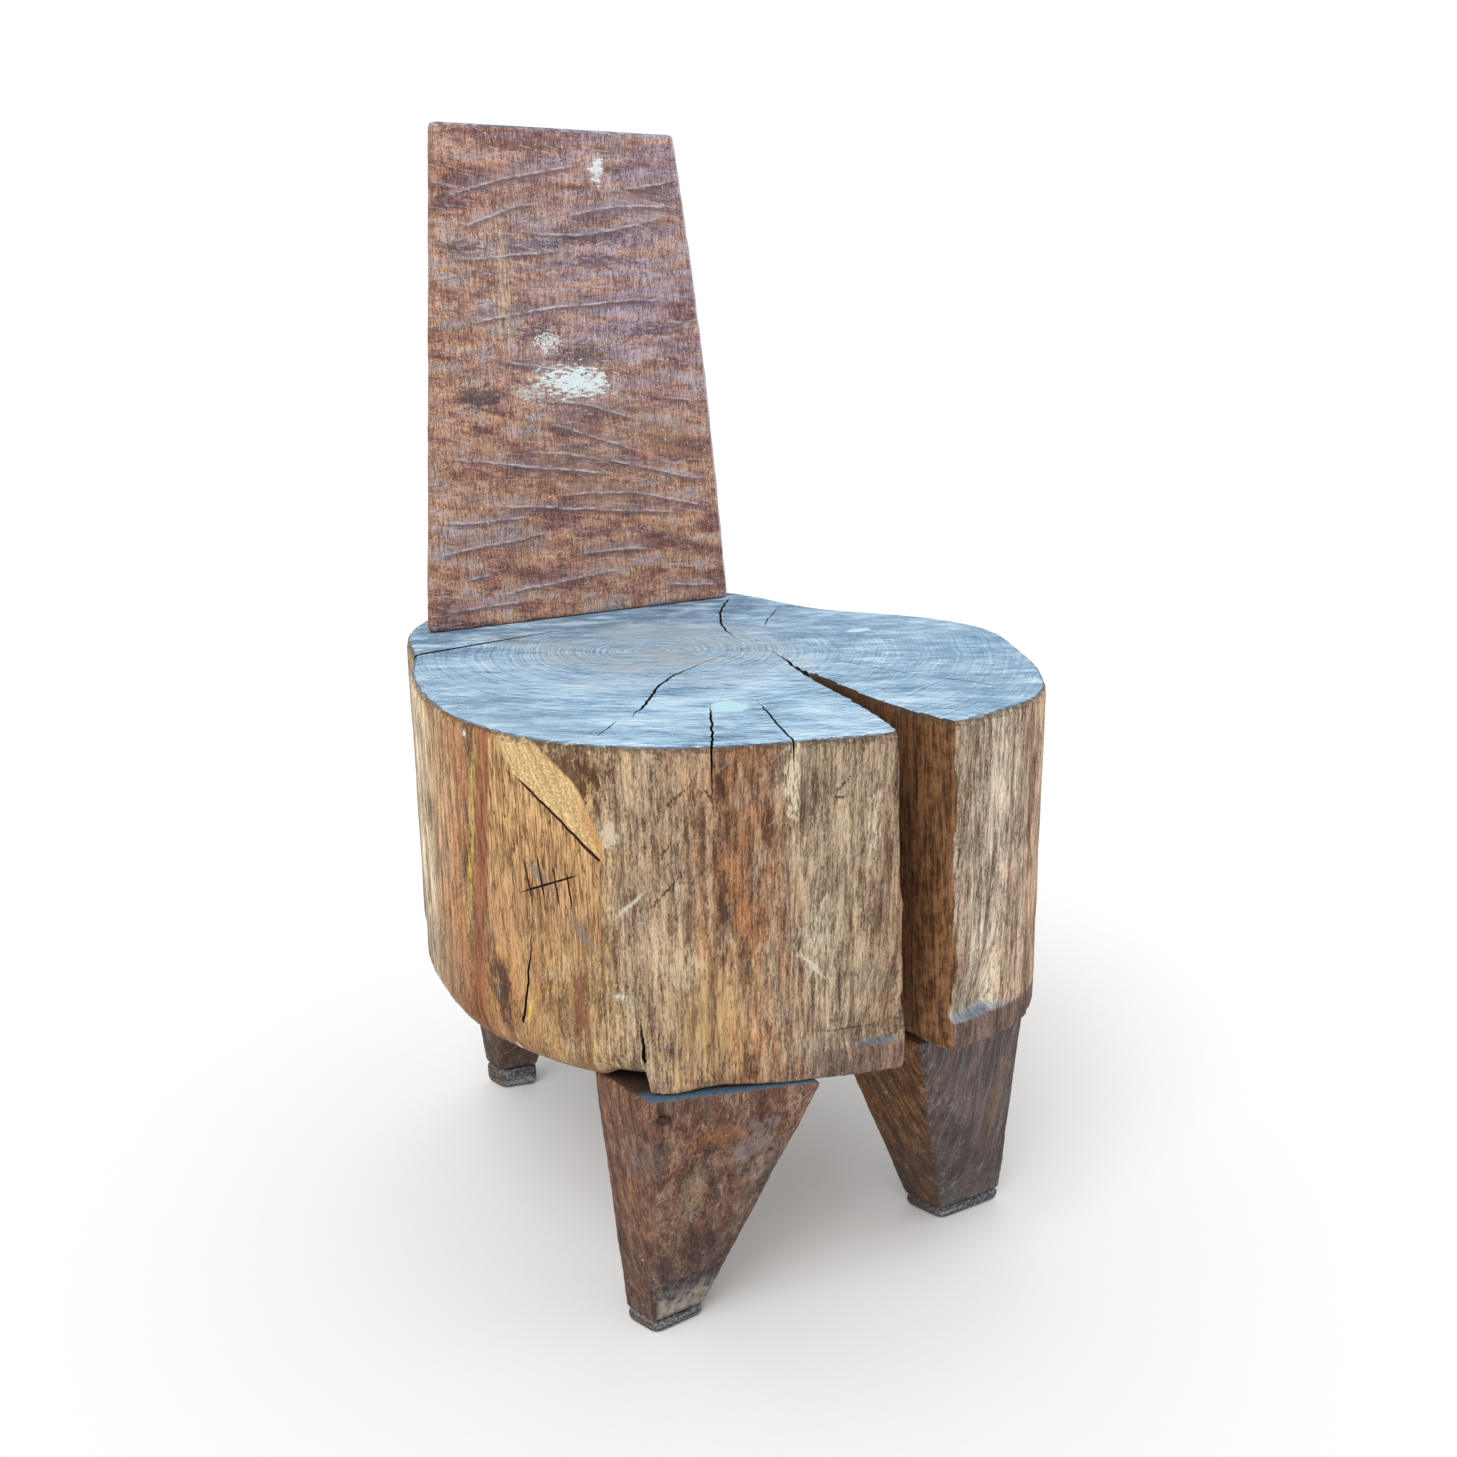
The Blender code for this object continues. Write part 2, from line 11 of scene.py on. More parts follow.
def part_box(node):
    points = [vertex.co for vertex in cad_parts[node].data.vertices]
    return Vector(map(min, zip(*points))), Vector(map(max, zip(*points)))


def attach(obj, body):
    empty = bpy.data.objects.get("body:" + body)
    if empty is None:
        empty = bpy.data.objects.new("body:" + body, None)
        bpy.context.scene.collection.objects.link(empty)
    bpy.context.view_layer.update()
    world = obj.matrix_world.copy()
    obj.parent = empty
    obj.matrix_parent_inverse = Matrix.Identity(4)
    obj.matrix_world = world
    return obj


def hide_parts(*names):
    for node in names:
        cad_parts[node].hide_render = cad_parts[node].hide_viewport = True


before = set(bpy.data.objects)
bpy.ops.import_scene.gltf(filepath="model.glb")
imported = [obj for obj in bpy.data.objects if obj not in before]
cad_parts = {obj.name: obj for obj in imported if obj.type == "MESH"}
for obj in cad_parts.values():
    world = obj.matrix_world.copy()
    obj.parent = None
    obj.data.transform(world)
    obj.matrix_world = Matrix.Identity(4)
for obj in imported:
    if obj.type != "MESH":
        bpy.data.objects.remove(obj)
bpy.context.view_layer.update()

MM = 0.001

# The camera stands where the photograph was taken from: metres, degrees and millimetres of lens.
CAMERA_PLACE = (-0.5367, -0.8994, 0.6556)
CAMERA_TURN = -31.90
CAMERA_DIP = 15.42
CAMERA_ROLL = -0.53
CAMERA_LENS = 37.60
CAMERA_SENSOR = 36.0

# Studio: a wide floor, an even sky and a broad soft sun from the upper left.
FLOOR_SIZE = 40.0
FLOOR_TONE = "#FCFCFC"
SKY_LIGHT = 0.74
SUN_FROM = (-0.55, -0.45, 0.75)
SUN_STRENGTH = 1.5
SUN_SPREAD = math.radians(35.0)

# The log in the chair's frame: its axis, the pith that its rings close round, the seat's height, the radius
# at which its side is unrolled to be painted, the way of the saw, and how far rings and bands of tone waver.
LOG_AXIS = (-0.0052, -0.0368)
PITH = (-0.030, 0.017)
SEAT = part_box("seat_block")[1].z
LOG_GIRTH = 0.215
SAW_TURN = math.radians(-32.0)
RING_WAVER = 0.024
BAND_WAVER = 0.030

# How each kind of piece is remeshed and worn: voxel size, rounds of smoothing that ease its arrises, depth
# and size of its fibres and of its dents, all in millimetres, the share of both on level faces, and a seed.
# The voxels keep the faces near what the finest carved mark needs.
Wear = namedtuple("Wear", "voxel rounds fibre_depth fibre_size dent_depth dent_size level_share seed")
BLOCK_WEAR = Wear(3.05, 0, 2.2, (8, 8, 90), 2.0, 60, 0.3, 3.0)
BACK_WEAR = Wear(2.0, 0, 0.6, (5, 5, 60), 1.6, 45, 0.3, 5.0)
LEG_WEAR = Wear(1.8, 9, 0.7, (6, 6, 70), 2.0, 40, 0.2, 7.0)
PAD_WEAR = Wear(1.2, 30, 0.5, (30, 30, 4), 0.8, 20, 0.2, 9.0)
SHARP_ANGLE = math.radians(40.0)

# The block's lower edge by the front left leg: bearings in degrees of a bite, then of a tongue left standing,
# how high the bite is and how far from the axis the tongue stands.
TORN_EDGE = {
    "Bite start": -54.0, "Bite full": -50.5, "Bite end": -45.4, "Tongue full": -44.0, "Tongue fade": -42.5,
    "Tongue end": -31.0, "Rise": 5.0 * MM, "Girth": 206.5 * MM,
}

# The adze: how deep a stroke is, how far above its lip it starts, and the lip's spacing of points and wander.
ADZE = {"Depth": 0.6 * MM, "Reach": 11.0 * MM, "Step": 3.0 * MM, "Wander": 5.0 * MM}

# Spacing of points along a cut.
CUT_STEP = 2.5 * MM

# Cuts in the seat, in millimetres: points across the seat, then width, depth, the share of the length over
# which either end thins out, and how far the line wanders.
Cut = namedtuple("Cut", "points width depth opening closing wander")
SEAT_CUTS = {
    "crack_rear": Cut(((37, 2), (47, 38), (78, 99), (123, 157)), 2.2, 20.0, 0.35, 0.12, 4.0),
    "crack_left": Cut(((-7, -31), (-66, -68), (-109, -116), (-132, -140)), 2.4, 22.0, 0.35, 0.2, 5.0),
    "crack_left_end": Cut(((-138, -138), (-166, -163)), 1.2, 8.0, 0.3, 0.3, 4.0),
    "crack_front": Cut(((-75, -136), (-104, -187), (-127, -224)), 1.9, 34.0, 0.3, 0.05, 4.0),
    "crack_short": Cut(((-46, -144), (-65, -194), (-80, -236)), 1.8, 14.0, 0.3, 0.05, 4.0),
    "crack_right": Cut(((54, -65), (71, -127), (105, -209)), 1.2, 8.0, 0.35, 0.1, 4.0),
    "crack_far": Cut(((76, 35), (106, 70), (136, 100)), 1.2, 8.0, 0.3, 0.3, 4.0),
    "check_tip": Cut(((39, -32), (22, -96), (14, -140)), 9.0, 110.0, 1.0, 0.01, 4.0),
    "saw_kerf": Cut(((-190, 92), (-83, 110), (-10, 121)), 5.6, 10.0, 0.02, 0.8, 0.5),
}

# Cuts in the log's side: points as a bearing in degrees from the front and a height in millimetres.
SIDE_CUTS = {
    "crack_low_left": Cut(((-63.2, 316), (-65.4, 268), (-68.2, 221)), 2.0, 9.0, 0.5, 0.08, 4.0),
    "crack_lower_edge": Cut(((-45.6, 262), (-44.9, 236), (-45.4, 208)), 2.6, 9.0, 0.4, 0.05, 6.0),
    "axe_heel": Cut(((-65.1, 400), (-57.5, 378), (-50.1, 355)), 2.4, 5.0, 0.15, 0.05, 1.5),
    "tally_1": Cut(((-64.5, 350), (-63.4, 322)), 1.9, 2.6, 0.2, 0.3, 0.5),
    "tally_2": Cut(((-61.9, 354), (-60.9, 324)), 2.1, 2.6, 0.2, 0.3, 0.5),
    "tally_3": Cut(((-59.2, 350), (-58.1, 320)), 1.9, 2.6, 0.2, 0.3, 0.5),
    "tally_4": Cut(((-56.6, 346), (-55.7, 320)), 2.1, 2.6, 0.2, 0.3, 0.5),
    "tally_across": Cut(((-66.0, 326), (-53.6, 346)), 1.9, 2.6, 0.25, 0.25, 0.5),
}

# Scratches on the log's side: both ends as millimetres round the log from the front and up, width and tone.
Scratch = namedtuple("Scratch", "first second width tone")
SIDE_SCRATCHES = (
    Scratch((-136, 403), (-154, 387), 2.6, "#33271F"),
    Scratch((-130, 402), (-122, 388), 2.6, "#3B241C"),
    Scratch((-41, 402), (-53, 389), 2.4, "#33271F"),
    Scratch((-53, 390), (-43, 388), 2.4, "#33271F"),
    Scratch((-141, 351), (-161, 327), 2.4, "#33271F"),
    Scratch((-148, 369), (-156, 356), 2.4, "#33271F"),
    Scratch((-162, 340), (-185, 318), 3.4, "#CFC6B8"),
    Scratch((-72, 294), (-55, 279), 2.6, "#DDD1BE"),
    Scratch((-67, 288), (-52, 274), 2.2, "#DDD1BE"),
    Scratch((-67, 242), (1, 235), 2.2, "#4A3A2E"),
    Scratch((-242, 264), (-248, 237), 2.6, "#DCC84E"),
    Scratch((-243, 351), (-220, 329), 7.0, "#7E766E"),
    Scratch((-214, 321), (-194, 297), 8.0, "#7E766E"),
)

# Ovals of another tone: middle and half sizes in millimetres, how much of it is laid on, and the tone.
Mark = namedtuple("Mark", "middle half share tone")

# On the seat, as millimetres across and back.
SEAT_SPOTS = (
    Mark((-68, -148), (14, 16), 1.0, "#BFE9F2"),
    Mark((130, -11), (12, 7), 1.0, "#C6EEF6"),
)

# On the log's side, as millimetres round the log from the front and up: dark stains, pale wood and flecks.
SIDE_STAINS = (
    Mark((-205, 407), (22, 32), 0.85, "#4E2F1E"),
    Mark((-266, 258), (10, 28), 0.75, "#3C2826"),
    Mark((-208, 264), (7, 38), 0.65, "#7A4632"),
    Mark((-121, 398), (4, 24), 0.80, "#43261F"),
    Mark((-119, 333), (5, 27), 0.75, "#3F2822"),
)
SIDE_PALE = (
    Mark((-58, 300), (15, 28), 1.0, "#CFC2A8"),
    Mark((-26, 372), (5, 28), 1.0, "#D8CBAE"),
    Mark((-146, 290), (18, 20), 1.0, "#CBB894"),
)
SIDE_FLECKS = (
    Mark((-184, 372), (6, 9), 1.0, "#CDBAA2"),
    Mark((-287, 417), (4, 4), 1.0, "#DADBDC"),
    Mark((-262, 214), (4, 8), 1.0, "#E2DBCC"),
)
YELLOW_STREAK = ((-299, 285), (-278, 405))

# Tones round the log's side, by bearing in degrees from the front: sapwood and heartwood, and painted light,
# paler where the side faces the light.
SIDE_TONES = (
    (-180, "#8C7260"), (-150, "#9A8268"), (-104, "#E2D1B2"), (-92, "#C09C76"), (-80, "#AE7C54"),
    (-70, "#B98D5C"), (-56, "#BC9B6C"), (-44, "#A8937A"), (-36, "#A08064"), (-30, "#946848"),
    (-25, "#A07454"), (-18, "#A6937B"), (-6, "#9C866F"), (4, "#937459"), (17, "#C2B4A0"), (31, "#BC9A7F"),
    (40, "#CDBCA2"), (90, "#A08468"), (140, "#8C6B52"), (180, "#8C7260"),
)

# The ledges hewn under the block's front, in metres: the height of their upper edge, then the stretches
# round the log over which the damp wood on either side of the slot, the lit ledge and the slot's mouth
# begin and end.
LEDGE_TOP = 0.2288
RIGHT_FOOT = ((0.030, 0.036), (0.26, 0.22))
LEFT_FOOT = ((-0.075, -0.045), (0.012, 0.006))
LIT_LEDGE = ((0.030, 0.036), (0.098, 0.070))
SLOT_MOUTH = ((0.002, 0.006), (0.048, 0.044))

# On the back, as millimetres across and up: middles and half sizes of bruises and scrapes, stains, and paint.
BACK_BRUISES = (
    ((14, 710), (40, 9)), ((20, 691), (34, 7)), ((-34, 702), (34, 6)), ((-95, 700), (30, 6)),
    ((-36, 640), (30, 7)), ((70, 640), (34, 6)), ((-100, 730), (26, 6)),
)
BACK_SCRAPES = (((36, 770), (44, 6)), ((-40, 772), (40, 5)), ((60, 742), (34, 4)), ((0, 540), (60, 8)))
BACK_STAINS = (Mark((-84, 594), (24, 12), 0.75, "#4C484E"), Mark((2, 622), (26, 13), 0.60, "#57433F"))
BACK_PAINT = (Mark((-8, 603), (36, 15), 1.0, "#E6F1F0"), Mark((22, 757), (7, 11), 1.0, "#E8ECEA"))

# Legs: tones from the darkest fibre to the lightest on the left face and on the others, holding painted light
# and painted shade, the lean of the left face's grain in degrees, the tone of the shoulder's front strip, how
# much dust lies at the foot, and marks across and up.
Leg = namedtuple("Leg", "name left_tones front_tones lean top dust marks")
FRONT_LEGS = {
    # The left side is lighter where the light falls on it, painted light; the shoulder strip's blue grey is
    # painted sky light.
    "leg_front_left": Leg(
        "axed heartwood, sunned", ("#38221A", "#66432F", "#7E553E", "#9A7350"),
        ("#2E201B", "#583A2C", "#75513D", "#967E68"), 8.0, "#52677C", 0.9,
        (
            Mark((-97, 41), (34, 14), 0.85, "#1E1B26"), Mark((-118, 36), (22, 9), 0.75, "#241E28"),
            Mark((-83, 163), (18, 26), 0.55, "#7C7472"), Mark((-146, 160), (8, 26), 0.40, "#6C605A"),
            Mark((-107, 172), (26, 8), 0.55, "#8A5426"), Mark((-118, 128), (12, 30), 0.35, "#8C7A5E"),
        ),
    ),
    # The left side is darker in the seat's shade: painted shade.
    "leg_front_right": Leg(
        "axed heartwood, shaded", ("#2A1503", "#553110", "#72471A", "#98692E"),
        ("#2C2426", "#463B3C", "#574B4A", "#7A6C69"), -30.0, "#4E3A28", 0.2,
        (Mark((143, 105), (10, 44), 0.55, "#7A5C40"),),
    ),
}
# The rear legs stand under the seat, and their tones are painted shade.
PAINTED_SHADE_TONES = ("#2B1A0A", "#503418", "#664424", "#886642")
REAR_LEGS = Leg("axed heartwood, painted shade", PAINTED_SHADE_TONES, PAINTED_SHADE_TONES, 0.0, "#4E3A28", 0.2, ())

# The front left leg's shoulder edge, as millimetres across and back: wood near it or outside it takes the
# strip's painted sky light, the rest of the shoulder painted shade.
SHOULDER_EDGE = ((-154, -191), (-76, -218))

# Adze strokes on the back: left end, middle and right end of each lip, as millimetres across and up.
ADZE_STROKES = (
    ((-110, 731), (-57, 747), (17, 762)),
    ((-92, 713), (-50, 727), (-26, 731)),
    ((-53, 712), (10, 711), (88, 727)),
    ((-10, 723), (45, 732), (96, 730)),
    ((42, 744), (68, 747), (94, 752)),
    ((-100, 692), (-45, 695), (-2, 700)),
    ((-117, 643), (-12, 659), (97, 664)),
    ((-73, 620), (-33, 615), (15, 610)),
    ((-39, 591), (4, 585), (51, 572)),
    ((-41, 575), (0, 564), (50, 547)),
    ((-126, 553), (-55, 543), (31, 531)),
    ((-58, 555), (24, 542), (113, 521)),
    ((-33, 520), (35, 517), (113, 500)),
    ((-93, 517), (0, 507), (90, 497)),
    ((-124, 504), (-85, 504), (-50, 505)),
    ((-130, 480), (-89, 486), (-32, 491)),
    ((-20, 473), (20, 474), (57, 471)),
    ((-107, 461), (-97, 463), (-87, 464)),
    ((-87, 447), (-18, 455), (35, 458)),
    ((-126, 440), (-80, 441), (-55, 442)),
    ((58, 443), (84, 441), (113, 438)),
)


def linear(code):
    """Linear colour of an sRGB hex value."""
    shares = [int(code[place:place + 2], 16) / 255 for place in (1, 3, 5)]
    return tuple(c / 12.92 if c <= 0.04045 else ((c + 0.055) / 1.055) ** 2.4 for c in shares) + (1.0,)


def add(tree, kind, inputs, stops=(), **settings):
    """Add a node. An input is a value, a node (its first output) or an output; stops fill a colour ramp."""
    node = tree.nodes.new(kind)
    for name, value in settings.items():
        setattr(node, name, value)
    for key, value in inputs.items():
        by_name = [socket for socket in node.inputs if socket.name == key and socket.enabled]
        socket = by_name[0] if by_name else node.inputs[key]
        if isinstance(value, bpy.types.Node):
            value = next(output for output in value.outputs if output.enabled)
        if isinstance(value, bpy.types.NodeSocket):
            tree.links.new(value, socket)
        else:
            socket.default_value = value
    for place, (position, tone) in enumerate(stops):
        elements = node.color_ramp.elements
        element = elements[place] if place < 2 else elements.new(position)
        element.position = position
        element.color = linear(tone)
    return node


Surface = namedtuple("Surface", "material tree place axes normal facing")


def new_surface(name):
    """A new material, with the place of a point in the chair's frame and the way that its face looks."""
    material = bpy.data.materials.new(name)
    material.use_nodes = True
    tree = material.node_tree
    tree.nodes.clear()
    coords = add(tree, "ShaderNodeTexCoord", {}).outputs
    axes = add(tree, "ShaderNodeSeparateXYZ", {"Vector": coords["Object"]}).outputs
    facing = add(tree, "ShaderNodeSeparateXYZ", {"Vector": coords["Normal"]}).outputs
    return Surface(material, tree, coords["Object"], axes, coords["Normal"], facing)


def finish(surface, colour, roughness, height, relief):
    """Close a wood material: colour, roughness and a bump of so many millimetres."""
    tree = surface.tree
    bump = add(tree, "ShaderNodeBump", {"Height": height, "Distance": relief * MM})
    shader = add(
        tree, "ShaderNodeBsdfPrincipled",
        {"Base Color": colour, "Roughness": roughness, "Normal": bump, "IOR": 1.5,
         "Specular IOR Level": 0.25},
    )
    add(tree, "ShaderNodeOutputMaterial", {"Surface": shader})
    return surface.material


def grain(tree, place, sizes, seed, low=0.36, high=0.64, detail=5.0, turn=(0.0, 0.0, 0.0)):
    """Uneven streaks from 0 to 1, of the given sizes in millimetres along each axis of a turned place.

    Real fibres and pores are too fine to show, so the finest ones are drawn about a millimetre wide.
    """
    drawn = add(
        tree, "ShaderNodeMapping",
        {"Vector": place, "Location": (seed, seed, seed), "Rotation": turn,
         "Scale": tuple(size * MM for size in sizes)},
        vector_type="TEXTURE",
    )
    noise = add(
        tree, "ShaderNodeTexNoise", {"Vector": drawn, "Scale": 1.0, "Detail": detail, "Roughness": 0.68},
    )
    return add(tree, "ShaderNodeMapRange", {"Value": noise, "From Min": low, "From Max": high})


def veins(tree, place, sizes, seed, width=0.030, turn=(0.0, 0.0, 0.0)):
    """Thin lines along the grain, where drawn out noise crosses its mean."""
    drawn = grain(tree, place, sizes, seed, low=0.0, high=1.0, detail=2.0, turn=turn)
    middled = add(tree, "ShaderNodeMath", {0: drawn, 1: 0.5}, operation="SUBTRACT")
    return near(tree, middled, width, 0.2 * width)


def blended(tree, *parts, spread=0.24):
    """Sum of values, each with its weight, drawn out about its middle to run from 0 to 1."""
    total = 0.0
    for value, weight in parts:
        total = add(tree, "ShaderNodeMath", {0: value, 1: weight, 2: total}, operation="MULTIPLY_ADD")
    return add(
        tree, "ShaderNodeMapRange", {"Value": total, "From Min": 0.5 - spread, "From Max": 0.5 + spread},
    )


def product(tree, *values):
    """Product of values: of shares, what they have in common."""
    result = values[0]
    for value in values[1:]:
        result = add(tree, "ShaderNodeMath", {0: result, 1: value}, operation="MULTIPLY")
    return result


def joined(tree, *shares):
    """What any one of several shares covers."""
    most = shares[0]
    for share in shares[1:]:
        most = add(tree, "ShaderNodeMath", {0: most, 1: share}, operation="MAXIMUM")
    return most


def ramp(tree, value, start, end, top=1.0):
    """Share that rises smoothly from 0 at the start to its top at the end."""
    return add(
        tree, "ShaderNodeMapRange", {"Value": value, "From Min": start, "From Max": end, "To Max": top},
        interpolation_type="SMOOTHSTEP",
    )


def near(tree, off, outer, inner, top=1.0):
    """Share of a point near a line: from 0 at the outer distance to its top at the inner, on either side."""
    away = add(tree, "ShaderNodeMath", {0: off}, operation="ABSOLUTE")
    return ramp(tree, away, outer, inner, top)


def span(tree, value, rise, fall):
    """Share that rises from 0 to 1 over one pair of values and falls back to 0 over another."""
    return product(tree, ramp(tree, value, *rise), ramp(tree, value, *fall))


def coated(tree, colour, *layers):
    """A colour under further tones, each laid on by its own share."""
    for share, tone in layers:
        if isinstance(tone, str):
            tone = linear(tone)
        colour = add(tree, "ShaderNodeMix", {"Factor": share, "A": colour, "B": tone}, data_type="RGBA")
    return colour


def fibred(tree, tone, shade, dark, light):
    """A tone that a shade draws between its dark fibres and its light ones."""
    if isinstance(tone, str):
        tone = linear(tone)[:3]
    low = add(tree, "ShaderNodeVectorMath", {0: tone, 1: dark}, operation="MULTIPLY")
    high = add(tree, "ShaderNodeVectorMath", {0: tone, 1: light}, operation="MULTIPLY")
    return add(tree, "ShaderNodeMix", {"Factor": shade, "A": low, "B": high}, data_type="RGBA")


def off_line(tree, across, up, first, second):
    """How far a point lies to the left of a line between two points given in millimetres."""
    run = (Vector(second) - Vector(first)).normalized()
    left = Vector((-run.y, run.x))
    start = -left.dot(Vector(first)) * MM
    part = add(tree, "ShaderNodeMath", {0: across, 1: left.x, 2: start}, operation="MULTIPLY_ADD")
    return add(tree, "ShaderNodeMath", {0: up, 1: left.y, 2: part}, operation="MULTIPLY_ADD")


def beside(tree, across, up, first, second, soft=1.5):
    """Share of a point that lies to the left of a line, softened over so many millimetres."""
    return ramp(tree, off_line(tree, across, up, first, second), -soft * MM, soft * MM)


def patch(tree, across, up, middle, half, ragged):
    """Share of a point inside an oval given in millimetres, with its rim eaten by a ragged share."""
    wide, tall = (
        add(
            tree, "ShaderNodeMath", {0: place, 1: 1 / (reach * MM), 2: -centre / reach},
            operation="MULTIPLY_ADD",
        )
        for place, centre, reach in zip((across, up), middle, half)
    )
    flat = add(tree, "ShaderNodeCombineXYZ", {"X": wide, "Y": tall})
    away = add(tree, "ShaderNodeVectorMath", {0: flat}, operation="LENGTH").outputs["Value"]
    eaten = add(tree, "ShaderNodeMath", {0: ragged, 1: 1.1, 2: away}, operation="MULTIPLY_ADD")
    return ramp(tree, eaten, 1.35, 1.05)


def marked(tree, across, up, marks, ragged, *through):
    """Layers for marks with ragged rims, each laid on by its own share and through the shares given."""
    layers = []
    for mark in marks:
        oval = patch(tree, across, up, mark.middle, mark.half, ragged)
        layers.append((product(tree, oval, mark.share, *through), mark.tone))
    return layers


def smear(tree, across, up, first, second, wide, ragged):
    """Share of a point in a slanting oval between two points, so wide, in millimetres, with a ragged rim."""
    run = Vector(second) - Vector(first)
    middle = (Vector(first) + Vector(second)) / 2
    off = off_line(tree, across, up, first, second)
    along = off_line(tree, across, up, middle, middle + Vector((run.y, -run.x)))
    return patch(tree, off, along, (0, 0), (wide / 2, run.length / 2), ragged)


def ring_lines(tree, distance, width, low, high):
    """Growth rings from 0 to 1 along a distance, so wide in millimetres."""
    ringed = add(
        tree, "ShaderNodeTexNoise", {"W": distance, "Scale": 1 / (width * MM), "Detail": 1.0},
        noise_dimensions="1D",
    )
    return add(tree, "ShaderNodeMapRange", {"Value": ringed, "From Min": low, "From Max": high})


def growth_rings(tree, place, width):
    """Distance of a point from the wavering pith, and rings round it from 0 to 1, so wide in millimetres."""
    wobble = add(tree, "ShaderNodeTexNoise", {"Vector": place, "Scale": 1 / (80 * MM), "Detail": 3.0})
    waved = add(
        tree, "ShaderNodeVectorMath",
        {0: wobble.outputs["Color"], 1: (RING_WAVER, RING_WAVER, 0.0), 2: place}, operation="MULTIPLY_ADD",
    )
    to_pith = (-PITH[0] - RING_WAVER / 2, -PITH[1] - RING_WAVER / 2, 0.0)
    level = add(
        tree, "ShaderNodeVectorMath", {0: waved, 1: (1.0, 1.0, 0.0), 2: to_pith}, operation="MULTIPLY_ADD",
    )
    from_pith = add(tree, "ShaderNodeVectorMath", {0: level}, operation="LENGTH").outputs["Value"]
    return from_pith, ring_lines(tree, from_pith, width, 0.40, 0.60)


def along_saw(askew=0.0):
    """Turn of a pattern that follows the saw's strokes, or runs askew to them by so many radians."""
    return (0.0, 0.0, SAW_TURN + askew)


def end_grain(surface):
    """Colour and height of the seat: silvered end grain under a painted sky reflection, saw strokes, pale
    rings round the pith, browner near it.
    """
    tree, place, axes = surface.tree, surface.place, surface.axes
    from_pith, rings = growth_rings(tree, place, 2.4)
    strokes = grain(tree, place, (30.0, 1.3, 30.0), 3.0, turn=along_saw())
    hairs = grain(tree, place, (9.0, 0.6, 9.0), 4.0, turn=along_saw(0.10))
    cross = grain(tree, place, (16.0, 0.8, 16.0), 6.0, turn=along_saw(-0.35))
    patches = grain(tree, place, (60.0, 24.0, 60.0), 8.0, turn=along_saw())
    shade = blended(tree, (strokes, 0.26), (hairs, 0.22), (cross, 0.20), (patches, 0.22), (rings, 0.10))
    # Steel blue to near white: the silver grey of weathered end grain with a painted reflection of the sky
    # over it.
    silver_and_sky_blue = add(
        tree, "ShaderNodeValToRGB", {"Fac": shade},
        stops=((0.0, "#44627F"), (0.25, "#7FA1BF"), (0.5, "#A9CDE8"), (0.72, "#C4E5F9"), (1.0, "#F2FBFF")),
    )
    nicks = veins(tree, place, (46.0, 5.0, 46.0), 9.0, width=0.016, turn=along_saw(-0.05))
    worn = grain(tree, place, (40.0, 16.0, 40.0), 11.0, low=0.46, high=0.66, turn=along_saw())
    pits = grain(tree, place, (1.8, 1.8, 1.8), 10.0, low=0.64, high=0.70, detail=2.0)
    core = product(tree, ramp(tree, from_pith, 0.15, 0.03), patches, 0.8)
    arcs = product(tree, ramp(tree, rings, 0.6, 0.95), ramp(tree, from_pith, 0.13, 0.05), worn, 0.55)
    even = grain(tree, place, (9.0, 5.0, 9.0), 12.0, low=0.1, high=1.2)
    mottled = grain(tree, place, (34.0, 15.0, 34.0), 13.0, low=0.40, high=0.60, turn=along_saw(0.15))
    aged_with_painted_light = coated(
        tree, silver_and_sky_blue,
        (product(tree, ramp(tree, axes["X"], 0.0, 0.10, 0.75), mottled), "#7595B4"),
        (product(tree, ramp(tree, axes["X"], -0.13, -0.20, 0.55), mottled), "#7C98B2"),
        (product(tree, ramp(tree, axes["Y"], 0.03, 0.13, 0.9), mottled), "#5A7592"),
        (core, "#8F8B88"),
        (arcs, "#DCEEF8"),
        (product(tree, nicks, worn, 0.75), "#4D6379"),
        (product(tree, pits, 0.8), "#EEF9FE"),
        *marked(tree, axes["X"], axes["Y"], SEAT_SPOTS, even),
    )
    return aged_with_painted_light, shade


def round_log(tree, place):
    """A point seen from the log's axis: bearing from the front, height, radius and the way straight out."""
    centred = add(tree, "ShaderNodeVectorMath", {0: place, 1: (*LOG_AXIS, 0.0)}, operation="SUBTRACT")
    axes = add(tree, "ShaderNodeSeparateXYZ", {"Vector": centred}).outputs
    ahead = product(tree, axes["Y"], -1.0)
    bearing = add(tree, "ShaderNodeMath", {0: axes["X"], 1: ahead}, operation="ARCTAN2")
    level = add(tree, "ShaderNodeVectorMath", {0: centred, 1: (1.0, 1.0, 0.0)}, operation="MULTIPLY")
    radius = add(tree, "ShaderNodeVectorMath", {0: level}, operation="LENGTH").outputs["Value"]
    radial = add(tree, "ShaderNodeVectorMath", {0: level}, operation="NORMALIZE")
    return bearing, axes["Z"], radius, radial


